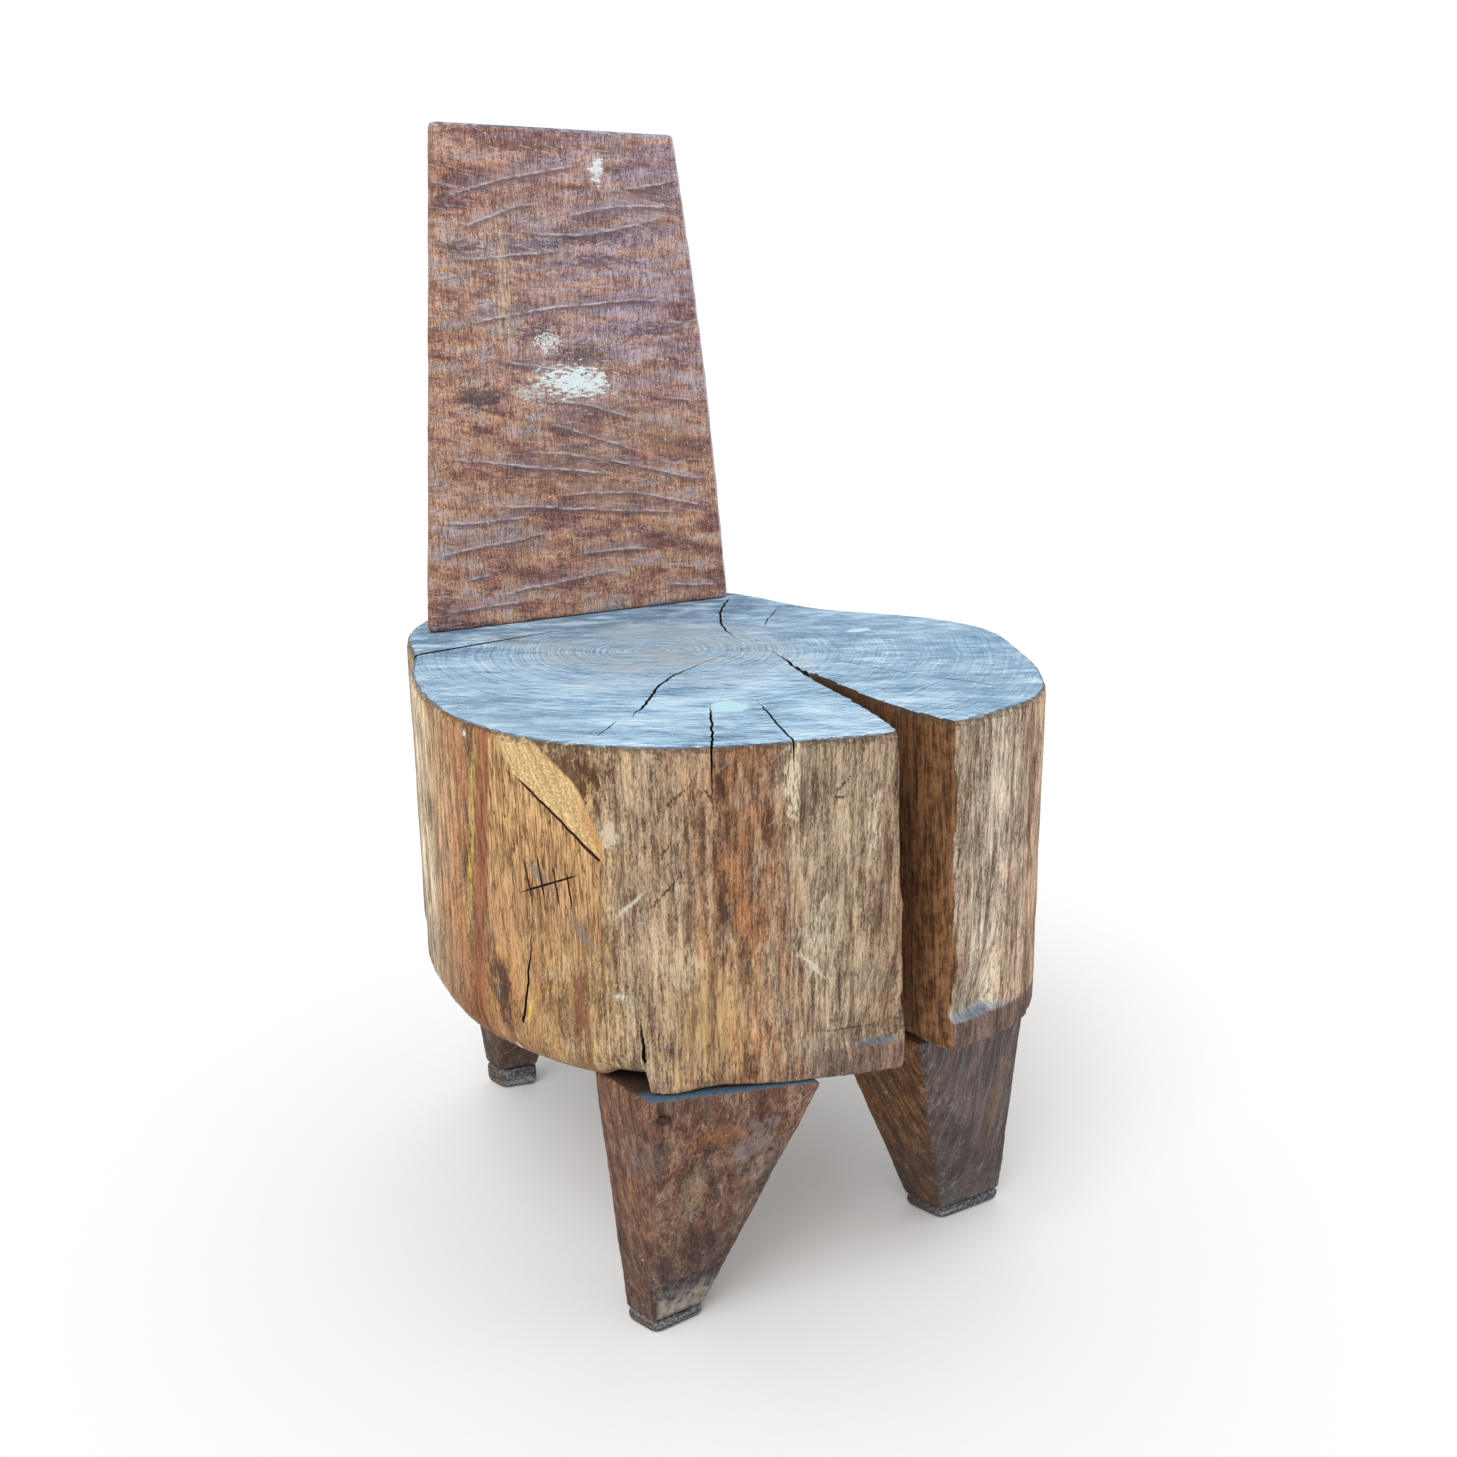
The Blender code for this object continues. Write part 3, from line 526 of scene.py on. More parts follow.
def log_side(surface):
    """Colour and height of the log's side: sapwood and heartwood by turns under painted light, in torn
    upright fibres.
    """
    tree = surface.tree
    bearing, up, radius, radial = round_log(tree, surface.place)
    around = product(tree, bearing, LOG_GIRTH)
    flat = add(tree, "ShaderNodeCombineXYZ", {"X": around, "Y": up, "Z": radius})

    bands = grain(tree, flat, (12.0, 90.0, 60.0), 5.0)
    turned = add(tree, "ShaderNodeMath", {0: bands, 1: BAND_WAVER, 2: around}, operation="MULTIPLY_ADD")
    half = math.pi * LOG_GIRTH
    share = add(
        tree, "ShaderNodeMapRange",
        {"Value": turned, "From Min": BAND_WAVER / 2 - half, "From Max": BAND_WAVER / 2 + half},
    )
    # The tones by bearing hold painted light as well as the wood's own bands: paler where the side faces the
    # light.
    stops = tuple(((degrees + 180) / 360, tone) for degrees, tone in SIDE_TONES)
    tone = add(tree, "ShaderNodeValToRGB", {"Fac": share}, stops=stops)

    fibre = grain(tree, flat, (3.0, 40.0, 12.0), 1.0)
    thread = grain(tree, flat, (1.2, 8.0, 6.0), 2.0)
    threads = ramp(tree, thread, 0.1, 0.5)
    fleck = grain(tree, flat, (0.9, 2.2, 3.0), 3.0, detail=3.0)
    broad = grain(tree, flat, (18.0, 40.0, 40.0), 4.0)
    shade = blended(tree, (fibre, 0.30), (thread, 0.26), (fleck, 0.20), (broad, 0.24), spread=0.21)
    side = fibred(tree, tone, shade, (0.27, 0.225, 0.20), (1.66, 1.67, 1.66))

    stain = grain(tree, flat, (6.0, 80.0, 30.0), 11.0, low=0.51, high=0.63)
    dry = grain(tree, flat, (2.4, 7.0, 9.0), 12.0, low=0.56, high=0.68)
    worn = grain(tree, flat, (30.0, 24.0, 30.0), 13.0, low=0.48, high=0.66)
    bright = grain(tree, flat, (14.0, 30.0, 20.0), 19.0, low=0.54, high=0.70)
    crevices = veins(tree, flat, (8.0, 150.0, 20.0), 20.0, width=0.016)
    splits = veins(tree, flat, (3.4, 60.0, 20.0), 22.0, width=0.022)
    scores, cross = (
        grain(tree, flat, sizes, seed, low=0.63, high=0.67, turn=(0.0, 0.0, math.radians(slant)))
        for sizes, seed, slant in (((34.0, 0.8, 30.0), 14.0, 38.0), ((22.0, 0.7, 30.0), 15.0, 50.0))
    )
    ragged = grain(tree, flat, (3.0, 9.0, 6.0), 16.0)
    golden = patch(tree, around, up, (-128, 255), (46, 62), ragged)
    blaze = patch(tree, around, up, (-78, 402), (6, 40), ragged)
    chip = patch(tree, around, up, (-181, 270), (5, 3), fleck)
    soaked = product(tree, ramp(tree, up, 0.315, 0.245, 0.6), ramp(tree, around, -0.185, -0.215), fibre)
    aged_with_painted_light = coated(
        tree, side,
        (product(tree, golden, fibre), "#D0AE7A"),
        (product(tree, worn, fleck, 0.40), "#A49B8E"),
        (product(tree, stain, 0.62), "#4A2D1E"),
        (soaked, "#6E4630"),
        *marked(tree, around, up, SIDE_STAINS, ragged),
        *marked(tree, around, up, SIDE_PALE, ragged, thread),
        (product(tree, bright, thread, 0.65), "#D8C7A6"),
        (product(tree, dry, worn, 0.60), "#E2D4B8"),
        (product(tree, crevices, worn, 0.85), "#33241A"),
        (product(tree, splits, broad, 0.55), "#3B2A1D"),
        (product(tree, scores, worn), "#DDD1BE"),
        (product(tree, cross, bands, 0.9), "#33271F"),
        (product(tree, blaze, ramp(tree, thread, 0.1, 0.6)), "#D6CAAE"),
        (product(tree, chip, threads), "#D9D4CA"),
        *marked(tree, around, up, SIDE_FLECKS, ragged),
    )

    notch, height = notch_faces(tree, around, up, flat, aged_with_painted_light, shade)
    scored = [
        (product(tree, smear(tree, around, up, mark.first, mark.second, mark.width, fleck), 0.8), mark.tone)
        for mark in SIDE_SCRATCHES
    ]
    off_streak = off_line(tree, around, up, *YELLOW_STREAK)
    streak = product(
        tree, near(tree, off_streak, 3.4 * MM, 1.6 * MM), span(tree, up, (0.275, 0.300), (0.412, 0.395)),
        ragged, threads, 0.9,
    )
    foot = ramp(tree, up, LEDGE_TOP - 0.3 * MM, LEDGE_TOP - 3.3 * MM)
    right_foot = product(tree, foot, span(tree, around, *RIGHT_FOOT), 0.92)
    left_foot = product(tree, foot, span(tree, around, *LEFT_FOOT), 0.6)
    damp = fibred(tree, "#6A5550", shade, (0.45, 0.42, 0.42), (1.6, 1.55, 1.5))
    off_ledge = add(tree, "ShaderNodeMath", {0: up, 1: LEDGE_TOP}, operation="SUBTRACT")
    lit = product(
        tree, near(tree, off_ledge, 3.4 * MM, 1.6 * MM), span(tree, around, *LIT_LEDGE), thread, 0.9,
    )
    dressed = coated(
        tree, notch, *scored, (streak, "#D3C24E"), (right_foot, damp), (left_foot, damp), (lit, "#8FA5B8"),
    )

    outward = add(tree, "ShaderNodeVectorMath", {0: surface.normal, 1: radial}, operation="DOT_PRODUCT")
    turned_in = ramp(tree, outward.outputs["Value"], 0.66, 0.36)
    in_slot = joined(
        tree, ramp(tree, up, 0.285, 0.300), ramp(tree, radius, 0.196, 0.186), span(tree, around, *SLOT_MOUTH),
    )
    # Deeper into the slot its walls turn darker: painted shade.
    deep = ramp(tree, radius, LOG_GIRTH, 0.10, 0.8)
    upright = grain(tree, surface.place, (2.5, 2.5, 40.0), 27.0)
    lit_fibres = blended(tree, (upright, 0.6), (thread, 0.4))
    raw = fibred(tree, "#775539", lit_fibres, (0.42, 0.36, 0.30), (1.7, 1.68, 1.64))
    walls = coated(tree, raw, (deep, "#4E321D"))
    return coated(tree, dressed, (product(tree, turned_in, in_slot), walls)), height


def notch_faces(tree, around, up, flat, side, shade):
    """Colour of the side with its notch: a clean axe bevel on end grain over a flat of torn golden fibres."""
    heel_left, heel_right, rim_left, rim_right = (-244, 400), (-188, 355), (-259, 427), (-230, 425)
    bulge, bulge_low, flat_foot = (-202, 400), (-188, 367), (-190, 300)
    flat_left, flat_left_foot = (-260, 425), (-281, 270)
    torn = grain(tree, flat, (1.8, 16.0, 9.0), 17.0)
    middled = add(tree, "ShaderNodeMath", {0: torn, 1: 0.5}, operation="SUBTRACT")
    edge = add(tree, "ShaderNodeMath", {0: middled, 1: 4.0 * MM, 2: around}, operation="MULTIPLY_ADD")
    within = product(
        tree, beside(tree, around, up, bulge, rim_right), beside(tree, around, up, bulge_low, bulge),
        beside(tree, edge, up, flat_foot, bulge_low),
    )
    bevel = product(
        tree, within, beside(tree, around, up, heel_left, heel_right),
        beside(tree, edge, up, rim_left, heel_left),
    )
    split = product(
        tree, within, beside(tree, edge, up, flat_left, flat_left_foot), ramp(tree, up, 0.265, 0.330),
    )
    from_rim = off_line(tree, around, up, bulge_low, bulge)
    rings = ring_lines(tree, from_rim, 3.2, 0.35, 0.65)
    pores = grain(tree, flat, (1.4, 1.4, 6.0), 23.0)
    clean = blended(tree, (rings, 0.22), (pores, 0.55), (torn, 0.23))
    bevel_tone = fibred(tree, "#D6B784", clean, (0.62, 0.55, 0.46), (1.32, 1.34, 1.36))
    orange = product(tree, ramp(tree, from_rim, 9.0 * MM, 1.0 * MM, 0.7), ramp(tree, up, 0.405, 0.375))
    fine = grain(tree, flat, (0.9, 22.0, 6.0), 25.0)
    fibres = blended(tree, (torn, 0.34), (fine, 0.40), (shade, 0.26))
    paler = fibred(tree, "#BB9567", fibres, (0.42, 0.35, 0.29), (1.52, 1.56, 1.60))
    browner = fibred(tree, "#AC8660", fibres, (0.40, 0.33, 0.28), (1.55, 1.58, 1.60))
    split_tone = coated(tree, paler, (ramp(tree, up, 0.365, 0.315, 0.8), browner))
    red_tone = fibred(tree, "#8A5537", fibres, (0.40, 0.36, 0.34), (1.6, 1.6, 1.6))
    lines = veins(tree, flat, (4.0, 50.0, 20.0), 24.0, width=0.026)
    off_border = off_line(tree, edge, up, flat_left_foot, flat_left)
    red = product(
        tree, near(tree, off_border, 17.0 * MM, 9.0 * MM, 0.8),
        beside(tree, edge, up, flat_left_foot, flat_left),
    )
    colour = coated(
        tree, side,
        (red, red_tone),
        (split, split_tone),
        (product(tree, split, lines, 0.8), "#4A2E1A"),
        (bevel, bevel_tone),
        (product(tree, bevel, orange), "#B87A3C"),
    )
    height = add(tree, "ShaderNodeMix", {"Factor": bevel, "A": shade, "B": clean}, data_type="FLOAT")
    return colour, height


def weathered_log():
    """Sawn and split log left outdoors: silvered end grain in painted sky reflection, dark worn rim, streaked
    fibrous sapwood.
    """
    surface = new_surface("weathered log, sawn above and split round its side")
    tree, up, facing = surface.tree, surface.axes["Z"], surface.facing
    seat_tone, seat_height = end_grain(surface)
    side_tone, side_height = log_side(surface)
    frayed = grain(tree, surface.place, (4.0, 4.0, 2.0), 18.0)
    level = ramp(tree, facing["Z"], 0.55, 0.80)
    above = product(tree, level, ramp(tree, up, SEAT - 0.03, SEAT - 0.02))
    # Level faces more than three centimetres below the seat, the ledges, get a blue grey: painted sky light.
    ledge = product(tree, level, ramp(tree, up, SEAT - 0.02, SEAT - 0.03), 0.7)
    trodden_and_skylit = fibred(tree, "#6E7A86", frayed, (0.45, 0.45, 0.46), (1.5, 1.5, 1.5))
    lifted = add(tree, "ShaderNodeMath", {0: frayed, 1: 6.0 * MM, 2: up}, operation="MULTIPLY_ADD")
    rim = product(
        tree, ramp(tree, lifted, SEAT - 3.0 * MM, SEAT + 2.0 * MM, 0.75), ramp(tree, facing["Z"], 0.95, 0.80),
    )
    below = ramp(tree, facing["Z"], -0.5, -0.85, 0.8)
    colour = coated(
        tree, side_tone, (above, seat_tone), (ledge, trodden_and_skylit), (rim, "#4A4038"), (below, "#6A5340"),
    )
    height = add(
        tree, "ShaderNodeMix", {"Factor": above, "A": side_height, "B": seat_height}, data_type="FLOAT",
    )
    return finish(surface, colour, 0.78, height, 0.25)


def raw_wood_in_shade(name, dark, light):
    """Wood laid open inside a crack or a tool mark: dusty, and darker than the skin around it with painted
    shade in the hollow.
    """
    surface = new_surface(name)
    fibre = grain(surface.tree, surface.place, (2.0, 2.0, 18.0), 4.0)
    tone = add(surface.tree, "ShaderNodeValToRGB", {"Fac": fibre}, stops=((0.0, dark), (1.0, light)))
    return finish(surface, tone, 0.9, fibre, 0.4)


def hewn_back():
    """Hard red brown wood dressed with an adze: upright fibres, painted highlights on the lips at the
    strokes' ends over painted shade, old paint.
    """
    surface = new_surface("adzed red hardwood, weathered")
    tree, place, facing = surface.tree, surface.place, surface.facing
    across, up = surface.axes["X"], surface.axes["Z"]
    fibre = grain(tree, place, (0.9, 0.9, 7.0), 21.0)
    thread = grain(tree, place, (2.4, 2.4, 34.0), 22.0)
    fleck = grain(tree, place, (1.0, 1.0, 1.5), 29.0, detail=3.0)
    broad = grain(tree, place, (50.0, 50.0, 30.0), 23.0)
    cloudy = grain(tree, place, (34.0, 34.0, 10.0), 24.0, turn=(0.0, 0.14, 0.0))
    rising = grain(tree, place, (90.0, 90.0, 6.0), 43.0, low=0.50, high=0.66, turn=(0.0, -0.16, 0.0))
    falling = grain(tree, place, (90.0, 90.0, 5.0), 44.0, low=0.50, high=0.66, turn=(0.0, 0.14, 0.0))
    mixed = blended(tree, (broad, 0.60), (cloudy, 0.40))
    tone = add(
        tree, "ShaderNodeValToRGB", {"Fac": mixed},
        stops=((0.0, "#8A6358"), (0.3, "#A87A64"), (0.6, "#B68A6E"), (0.85, "#B4937C"), (1.0, "#A58F8C")),
    )
    streaked = grain(tree, place, (70.0, 70.0, 5.0), 50.0, low=0.38, high=0.60, turn=(0.0, -0.10, 0.0))
    upper = product(tree, ramp(tree, up, 0.52, 0.66), ramp(tree, across, -0.14, 0.03, 0.90), streaked)
    lilac = coated(tree, tone, (upper, "#9F8F9D"))
    shade = blended(tree, (fibre, 0.34), (thread, 0.20), (fleck, 0.30), (cloudy, 0.16), spread=0.19)
    wood = fibred(tree, lilac, shade, (0.42, 0.37, 0.36), (1.62, 1.66, 1.68))

    lip = add(tree, "ShaderNodeAttribute", {}, attribute_name="lip").outputs["Fac"]
    strength = add(tree, "ShaderNodeAttribute", {}, attribute_name="lip strength").outputs["Fac"]
    broken = grain(tree, place, (9.0, 9.0, 3.0), 25.0, low=0.42, high=0.60)
    # Along each lip a pale line, a painted highlight, and just below it a dark band, painted shade.
    lip_highlight = product(tree, near(tree, lip, 1.2 * MM, 0.2 * MM, 0.9), strength, broken)
    under = product(tree, span(tree, lip, (-6.0 * MM, -1.0 * MM), (0.0, -0.8 * MM)), strength, 0.6)
    greyed = product(tree, span(tree, lip, (-5.0 * MM, 0.0), (9.0 * MM, 0.0)), strength, fibre, 0.7)
    scratches = veins(tree, place, (120.0, 120.0, 9.0), 30.0, width=0.018, turn=(0.0, 0.16, 0.0))
    scrapes = veins(tree, place, (120.0, 120.0, 9.0), 45.0, width=0.012, turn=(0.0, -0.14, 0.0))

    front = ramp(tree, facing["Y"], -0.30, -0.70)
    ragged = grain(tree, place, (6.0, 6.0, 2.2), 26.0)
    crumbs = grain(tree, place, (3.0, 3.0, 1.2), 27.0, low=0.34, high=0.40, detail=3.0)
    specks = grain(tree, place, (2.2, 2.2, 2.2), 28.0, low=0.67, high=0.70, detail=2.0)
    sloping = grain(tree, place, (70.0, 70.0, 4.0), 49.0, low=0.48, high=0.62, turn=(0.0, 0.13, 0.0))
    olive = patch(tree, across, up, (20, 550), (105, 62), ragged)
    dry = patch(tree, across, up, (-60, 668), (10, 56), ragged)
    tail = patch(tree, across, up, (-44, 597), (18, 7), ragged)
    flake = patch(tree, across, up, (-26, 633), (14, 10), ragged)
    bruised, tanned = (
        joined(tree, *(patch(tree, across, up, middle, half, ragged) for middle, half in ovals))
        for ovals in (BACK_BRUISES, BACK_SCRAPES)
    )

    # A pale line on the front of the right side's arris: a painted highlight.
    arris = product(tree, span(tree, facing["X"], (0.20, 0.45), (0.90, 0.70)), front, 0.7)
    left_edge = ramp(tree, facing["X"], -0.25, -0.60, 0.25)
    # The back's level top takes a blue grey end grain: painted sky light.
    above = ramp(tree, facing["Z"], 0.30, 0.75, 0.85)
    rings = growth_rings(tree, place, 3.4)[1]
    sawn = grain(tree, place, (24.0, 1.2, 24.0), 48.0, turn=along_saw())
    ends = blended(tree, (rings, 0.46), (sawn, 0.34), (fleck, 0.20))
    top = fibred(tree, "#93A5B8", ends, (0.42, 0.42, 0.43), (1.5, 1.5, 1.5))
    rear = ramp(tree, facing["Y"], 0.10, 0.50, 0.7)
    barked = blended(tree, (thread, 0.5), (broad, 0.5))
    bark_side = fibred(tree, "#8C7465", barked, (0.45, 0.42, 0.4), (1.5, 1.5, 1.5))
    colour = coated(
        tree, wood,
        (product(tree, rising, 0.36), "#5C4650"),
        (product(tree, falling, fleck, 0.35), "#8F8590"),
        (product(tree, bruised, front, 0.62), "#4C3E4E"),
        (product(tree, tanned, front, 0.5), "#7E5638"),
        (greyed, "#9B909A"),
        (under, "#4C3A42"),
        (lip_highlight, "#CEC6CA"),
        (product(tree, olive, sloping, front, 0.6), "#8E7450"),
        (product(tree, scratches, broken, 0.7), "#C2B7B9"),
        (product(tree, scrapes, broken, 0.6), "#4E3C42"),
        (rear, bark_side),
        *marked(tree, across, up, BACK_STAINS, ragged, front),
        (product(tree, dry, thread, fibre, front), "#D6C39A"),
        *marked(tree, across, up, BACK_PAINT, ragged, crumbs, front),
        (product(tree, tail, crumbs, fleck, front), "#D6E0DC"),
        (product(tree, flake, crumbs, ramp(tree, fleck, 0.3, 0.6), front), "#E8F0EE"),
        (product(tree, specks, 0.7), "#E6DFDA"),
        (arris, "#CFCBDA"),
        (left_edge, "#5E4236"),
        (above, top),
    )
    return finish(surface, colour, 0.72, shade, 0.20)


def hewn_leg(leg):
    """Heartwood leg, hewn with an axe: the left side and the other faces in tones of their own holding
    painted light and painted shade, greyed in front.
    """
    surface = new_surface(leg.name)
    tree, place, axes, facing = surface.tree, surface.place, surface.axes, surface.facing
    along = (0.0, math.radians(leg.lean), 0.0)
    fuzz = grain(tree, place, (1.1, 1.1, 2.6), 34.0, detail=3.0)
    cloudy = grain(tree, place, (9.0, 9.0, 150.0), 33.0)
    upright = blended(
        tree, (grain(tree, place, (2.6, 2.6, 90.0), 31.0), 0.28),
        (grain(tree, place, (1.2, 1.2, 14.0), 32.0), 0.10), (cloudy, 0.40), (fuzz, 0.22),
    )
    leaning = blended(
        tree, (grain(tree, place, (3.0, 3.0, 90.0), 46.0, turn=along), 0.30),
        (grain(tree, place, (1.0, 1.0, 18.0), 47.0, turn=along), 0.12), (cloudy, 0.36), (fuzz, 0.22),
    )
    # Left side and other faces take tones of their own: painted light on the front left leg, painted shade on
    # the front right leg's left side and on the rear legs.
    left = ramp(tree, facing["X"], -0.30, -0.90)
    shade = add(tree, "ShaderNodeMix", {"Factor": left, "A": upright, "B": leaning}, data_type="FLOAT")
    places = (0.0, 0.35, 0.65, 1.0)
    left_wood, front_wood = (
        add(tree, "ShaderNodeValToRGB", {"Fac": shade}, stops=tuple(zip(places, tones)))
        for tones in (leg.left_tones, leg.front_tones)
    )
    worn = grain(tree, place, (16.0, 16.0, 90.0), 35.0, low=0.48, high=0.70)
    rusty = grain(tree, place, (12.0, 12.0, 110.0), 38.0, low=0.48, high=0.66)
    damp = grain(tree, place, (14.0, 14.0, 90.0), 36.0, low=0.52, high=0.70)
    low = ramp(tree, axes["Z"], 0.12, 0.05, 0.50)
    lines = veins(tree, place, (6.0, 6.0, 90.0), 39.0, width=0.020)
    scores = veins(tree, place, (16.0, 16.0, 60.0), 37.0, width=0.006, turn=(0.4, 0.5, 0.0))
    ragged = grain(tree, place, (5.0, 5.0, 9.0), 40.0)
    front = ramp(tree, facing["X"], -0.60, -0.30)
    dusty = product(tree, ramp(tree, axes["Z"], 0.050, 0.022, leg.dust), ragged, front)
    # The shoulder is painted dark, shade under the block, and the strip near the front left leg's edge takes
    # the leg's shoulder tone, a painted sky light on that leg.
    level = ramp(tree, facing["Z"], 0.55, 0.85, 0.95)
    from_edge = off_line(tree, axes["X"], axes["Y"], *SHOULDER_EDGE)
    trodden_and_skylit = product(tree, ramp(tree, from_edge, 15.0 * MM, 6.0 * MM), ramp(tree, fuzz, 0.0, 0.4))
    shoulder_light_and_shade = coated(tree, linear("#3E3028"), (trodden_and_skylit, leg.top))
    colour = coated(
        tree, front_wood,
        (product(tree, rusty, 0.50), "#74472F"),
        (product(tree, worn, 0.28), "#8E877D"),
        (left, left_wood),
        (low, "#332A2C"),
        (product(tree, damp, 0.50), "#2C2528"),
        *marked(tree, axes["X"], axes["Z"], leg.marks, ragged),
        (product(tree, lines, 0.60), "#221A17"),
        (product(tree, scores, cloudy, 0.65), "#B5ABA2"),
        (dusty, "#A8A296"),
        (level, shoulder_light_and_shade),
    )
    return finish(surface, colour, 0.62, shade, 0.20)


def worn_pad():
    """Softwood foot pads, worn grey by treading, with the grain lying flat and a browner left side of painted
    light.
    """
    surface = new_surface("trodden grey softwood")
    tree, place = surface.tree, surface.place
    layers = grain(tree, place, (40.0, 40.0, 2.2), 41.0)
    dust = grain(tree, place, (2.4, 2.4, 1.6), 42.0)
    shade = blended(tree, (layers, 0.40), (dust, 0.60))
    tone = add(
        tree, "ShaderNodeValToRGB", {"Fac": shade},
        stops=((0.0, "#3C3D42"), (0.4, "#5D5D60"), (0.75, "#75757A"), (1.0, "#909092")),
    )
    # The left side is browner: painted light where the light falls on it.
    painted_sunlight = fibred(tree, "#5E4C3C", shade, (0.5, 0.45, 0.42), (1.5, 1.5, 1.5))
    left = ramp(tree, surface.facing["X"], -0.40, -0.85, 0.7)
    return finish(surface, coated(tree, tone, (left, painted_sunlight)), 0.8, shade, 0.25)


def peg_end():
    """Whittled pegs seen on their end grain: dry tan wood with fine dark pores."""
    surface = new_surface("whittled peg, dry end grain")
    pores = grain(surface.tree, surface.place, (0.9, 6.0, 0.9), 51.0)
    tone = add(
        surface.tree, "ShaderNodeValToRGB", {"Fac": pores},
        stops=((0.0, "#6B5038"), (0.5, "#A07F58"), (1.0, "#C0A27A")),
    )
    return finish(surface, tone, 0.75, pores, 0.3)


def rusted_iron():
    """Forged iron nails under old rust: matt red brown scale over dark metal."""
    surface = new_surface("rusted iron")
    scale = grain(surface.tree, surface.place, (1.2, 1.2, 1.2), 61.0)
    tone = add(
        surface.tree, "ShaderNodeValToRGB", {"Fac": scale},
        stops=((0.0, "#181311"), (0.5, "#3A2620"), (1.0, "#5C3A2A")),
    )
    return finish(surface, tone, 0.7, scale, 0.2)


def new_tree(name, numbers, others):
    """A Geometry Nodes tree that takes a shape, a material, named numbers and others, and gives a shape."""
    tree = bpy.data.node_groups.new(name, "GeometryNodeTree")
    kinds = {"Geometry": "Geometry", "Material": "Material", **dict.fromkeys(numbers, "Float"), **others}
    for title, kind in kinds.items():
        tree.interface.new_socket(title, in_out="INPUT", socket_type=f"NodeSocket{kind}")
    tree.interface.new_socket("Geometry", in_out="OUTPUT", socket_type="NodeSocketGeometry")
    return tree, add(tree, "NodeGroupInput", {}).outputs


def close_tree(tree, shape, material):
    """End a tree with real geometry and its material."""
    real = add(tree, "GeometryNodeRealizeInstances", {"Geometry": shape})
    dressed = add(tree, "GeometryNodeSetMaterial", {"Geometry": real, "Material": material})
    add(tree, "NodeGroupOutput", {"Geometry": dressed})
    return tree


def hewn_relief():
    """Tree that weathers a surface with fibres and dents, fainter on level faces, never under the floor."""
    tree, given = new_tree(
        "weathered relief", ("Fibre depth", "Dent depth", "Dent size", "Level share", "Seed"),
        {"Fibre size": "Vector"},
    )
    place = add(tree, "GeometryNodeInputPosition", {})
    normal = add(tree, "GeometryNodeInputNormal", {})
    shifted = add(tree, "ShaderNodeVectorMath", {0: place, 1: given["Seed"]}, operation="ADD")

    lift = 0.0
    for work, detail in (("Fibre", 3.0), ("Dent", 2.0)):
        drawn = add(tree, "ShaderNodeVectorMath", {0: shifted, 1: given[f"{work} size"]}, operation="DIVIDE")
        noise = add(tree, "ShaderNodeTexNoise", {"Vector": drawn, "Scale": 1.0, "Detail": detail})
        middled = add(tree, "ShaderNodeMath", {0: noise, 1: 0.5}, operation="SUBTRACT")
        lift = add(
            tree, "ShaderNodeMath", {0: middled, 1: given[f"{work} depth"], 2: lift},
            operation="MULTIPLY_ADD",
        )

    facing = add(tree, "ShaderNodeSeparateXYZ", {"Vector": normal}).outputs
    steep = add(tree, "ShaderNodeMath", {0: facing["Z"]}, operation="ABSOLUTE")
    kept = add(
        tree, "ShaderNodeMapRange",
        {"Value": steep, "From Min": 0.5, "From Max": 0.9, "To Min": 1.0, "To Max": given["Level share"]},
    )
    total = product(tree, lift, kept)
    offset = add(tree, "ShaderNodeVectorMath", {0: normal, "Scale": total}, operation="SCALE")
    hewn = add(tree, "GeometryNodeSetPosition", {"Geometry": given["Geometry"], "Offset": offset})

    floor = add(tree, "ShaderNodeVectorMath", {0: place, 1: (-10.0, -10.0, 0.0)}, operation="MAXIMUM")
    grounded = add(tree, "GeometryNodeSetPosition", {"Geometry": hewn, "Position": floor})
    return close_tree(tree, grounded, given["Material"])


def torn_edge():
    """Tree that breaks the block's lower edge: a bite lifted out of it, then a tongue pushed out sideways."""
    tree, given = new_tree("torn lower edge", (*TORN_EDGE, "Foot"), {})
    place = add(tree, "GeometryNodeInputPosition", {})
    turned, up, radius, radial = round_log(tree, place)
    bearing = add(tree, "ShaderNodeMath", {0: turned}, operation="DEGREES")
    lift = add(tree, "ShaderNodeMath", {0: up, 1: given["Foot"]}, operation="SUBTRACT")
    outer = ramp(tree, radius, 0.172, 0.192)
    bite = product(
        tree, ramp(tree, bearing, given["Bite start"], given["Bite full"]),
        ramp(tree, bearing, given["Tongue full"], given["Bite end"]), outer,
        ramp(tree, lift, 30.0 * MM, 12.0 * MM), given["Rise"],
    )
    tongue = product(
        tree, ramp(tree, bearing, given["Bite end"], given["Tongue full"]),
        ramp(tree, bearing, given["Tongue end"], given["Tongue fade"]), outer,
        ramp(tree, lift, 26.0 * MM, 16.0 * MM),
    )
    short = add(tree, "ShaderNodeMath", {0: given["Girth"], 1: radius}, operation="SUBTRACT")
    push = product(tree, short, tongue)
    pushed = add(tree, "ShaderNodeVectorMath", {0: radial, "Scale": push}, operation="SCALE")
    lifted = add(tree, "ShaderNodeCombineXYZ", {"Z": bite})
    offset = add(tree, "ShaderNodeVectorMath", {0: pushed, 1: lifted}, operation="ADD")
    torn = add(tree, "GeometryNodeSetPosition", {"Geometry": given["Geometry"], "Offset": offset})
    return close_tree(tree, torn, given["Material"])


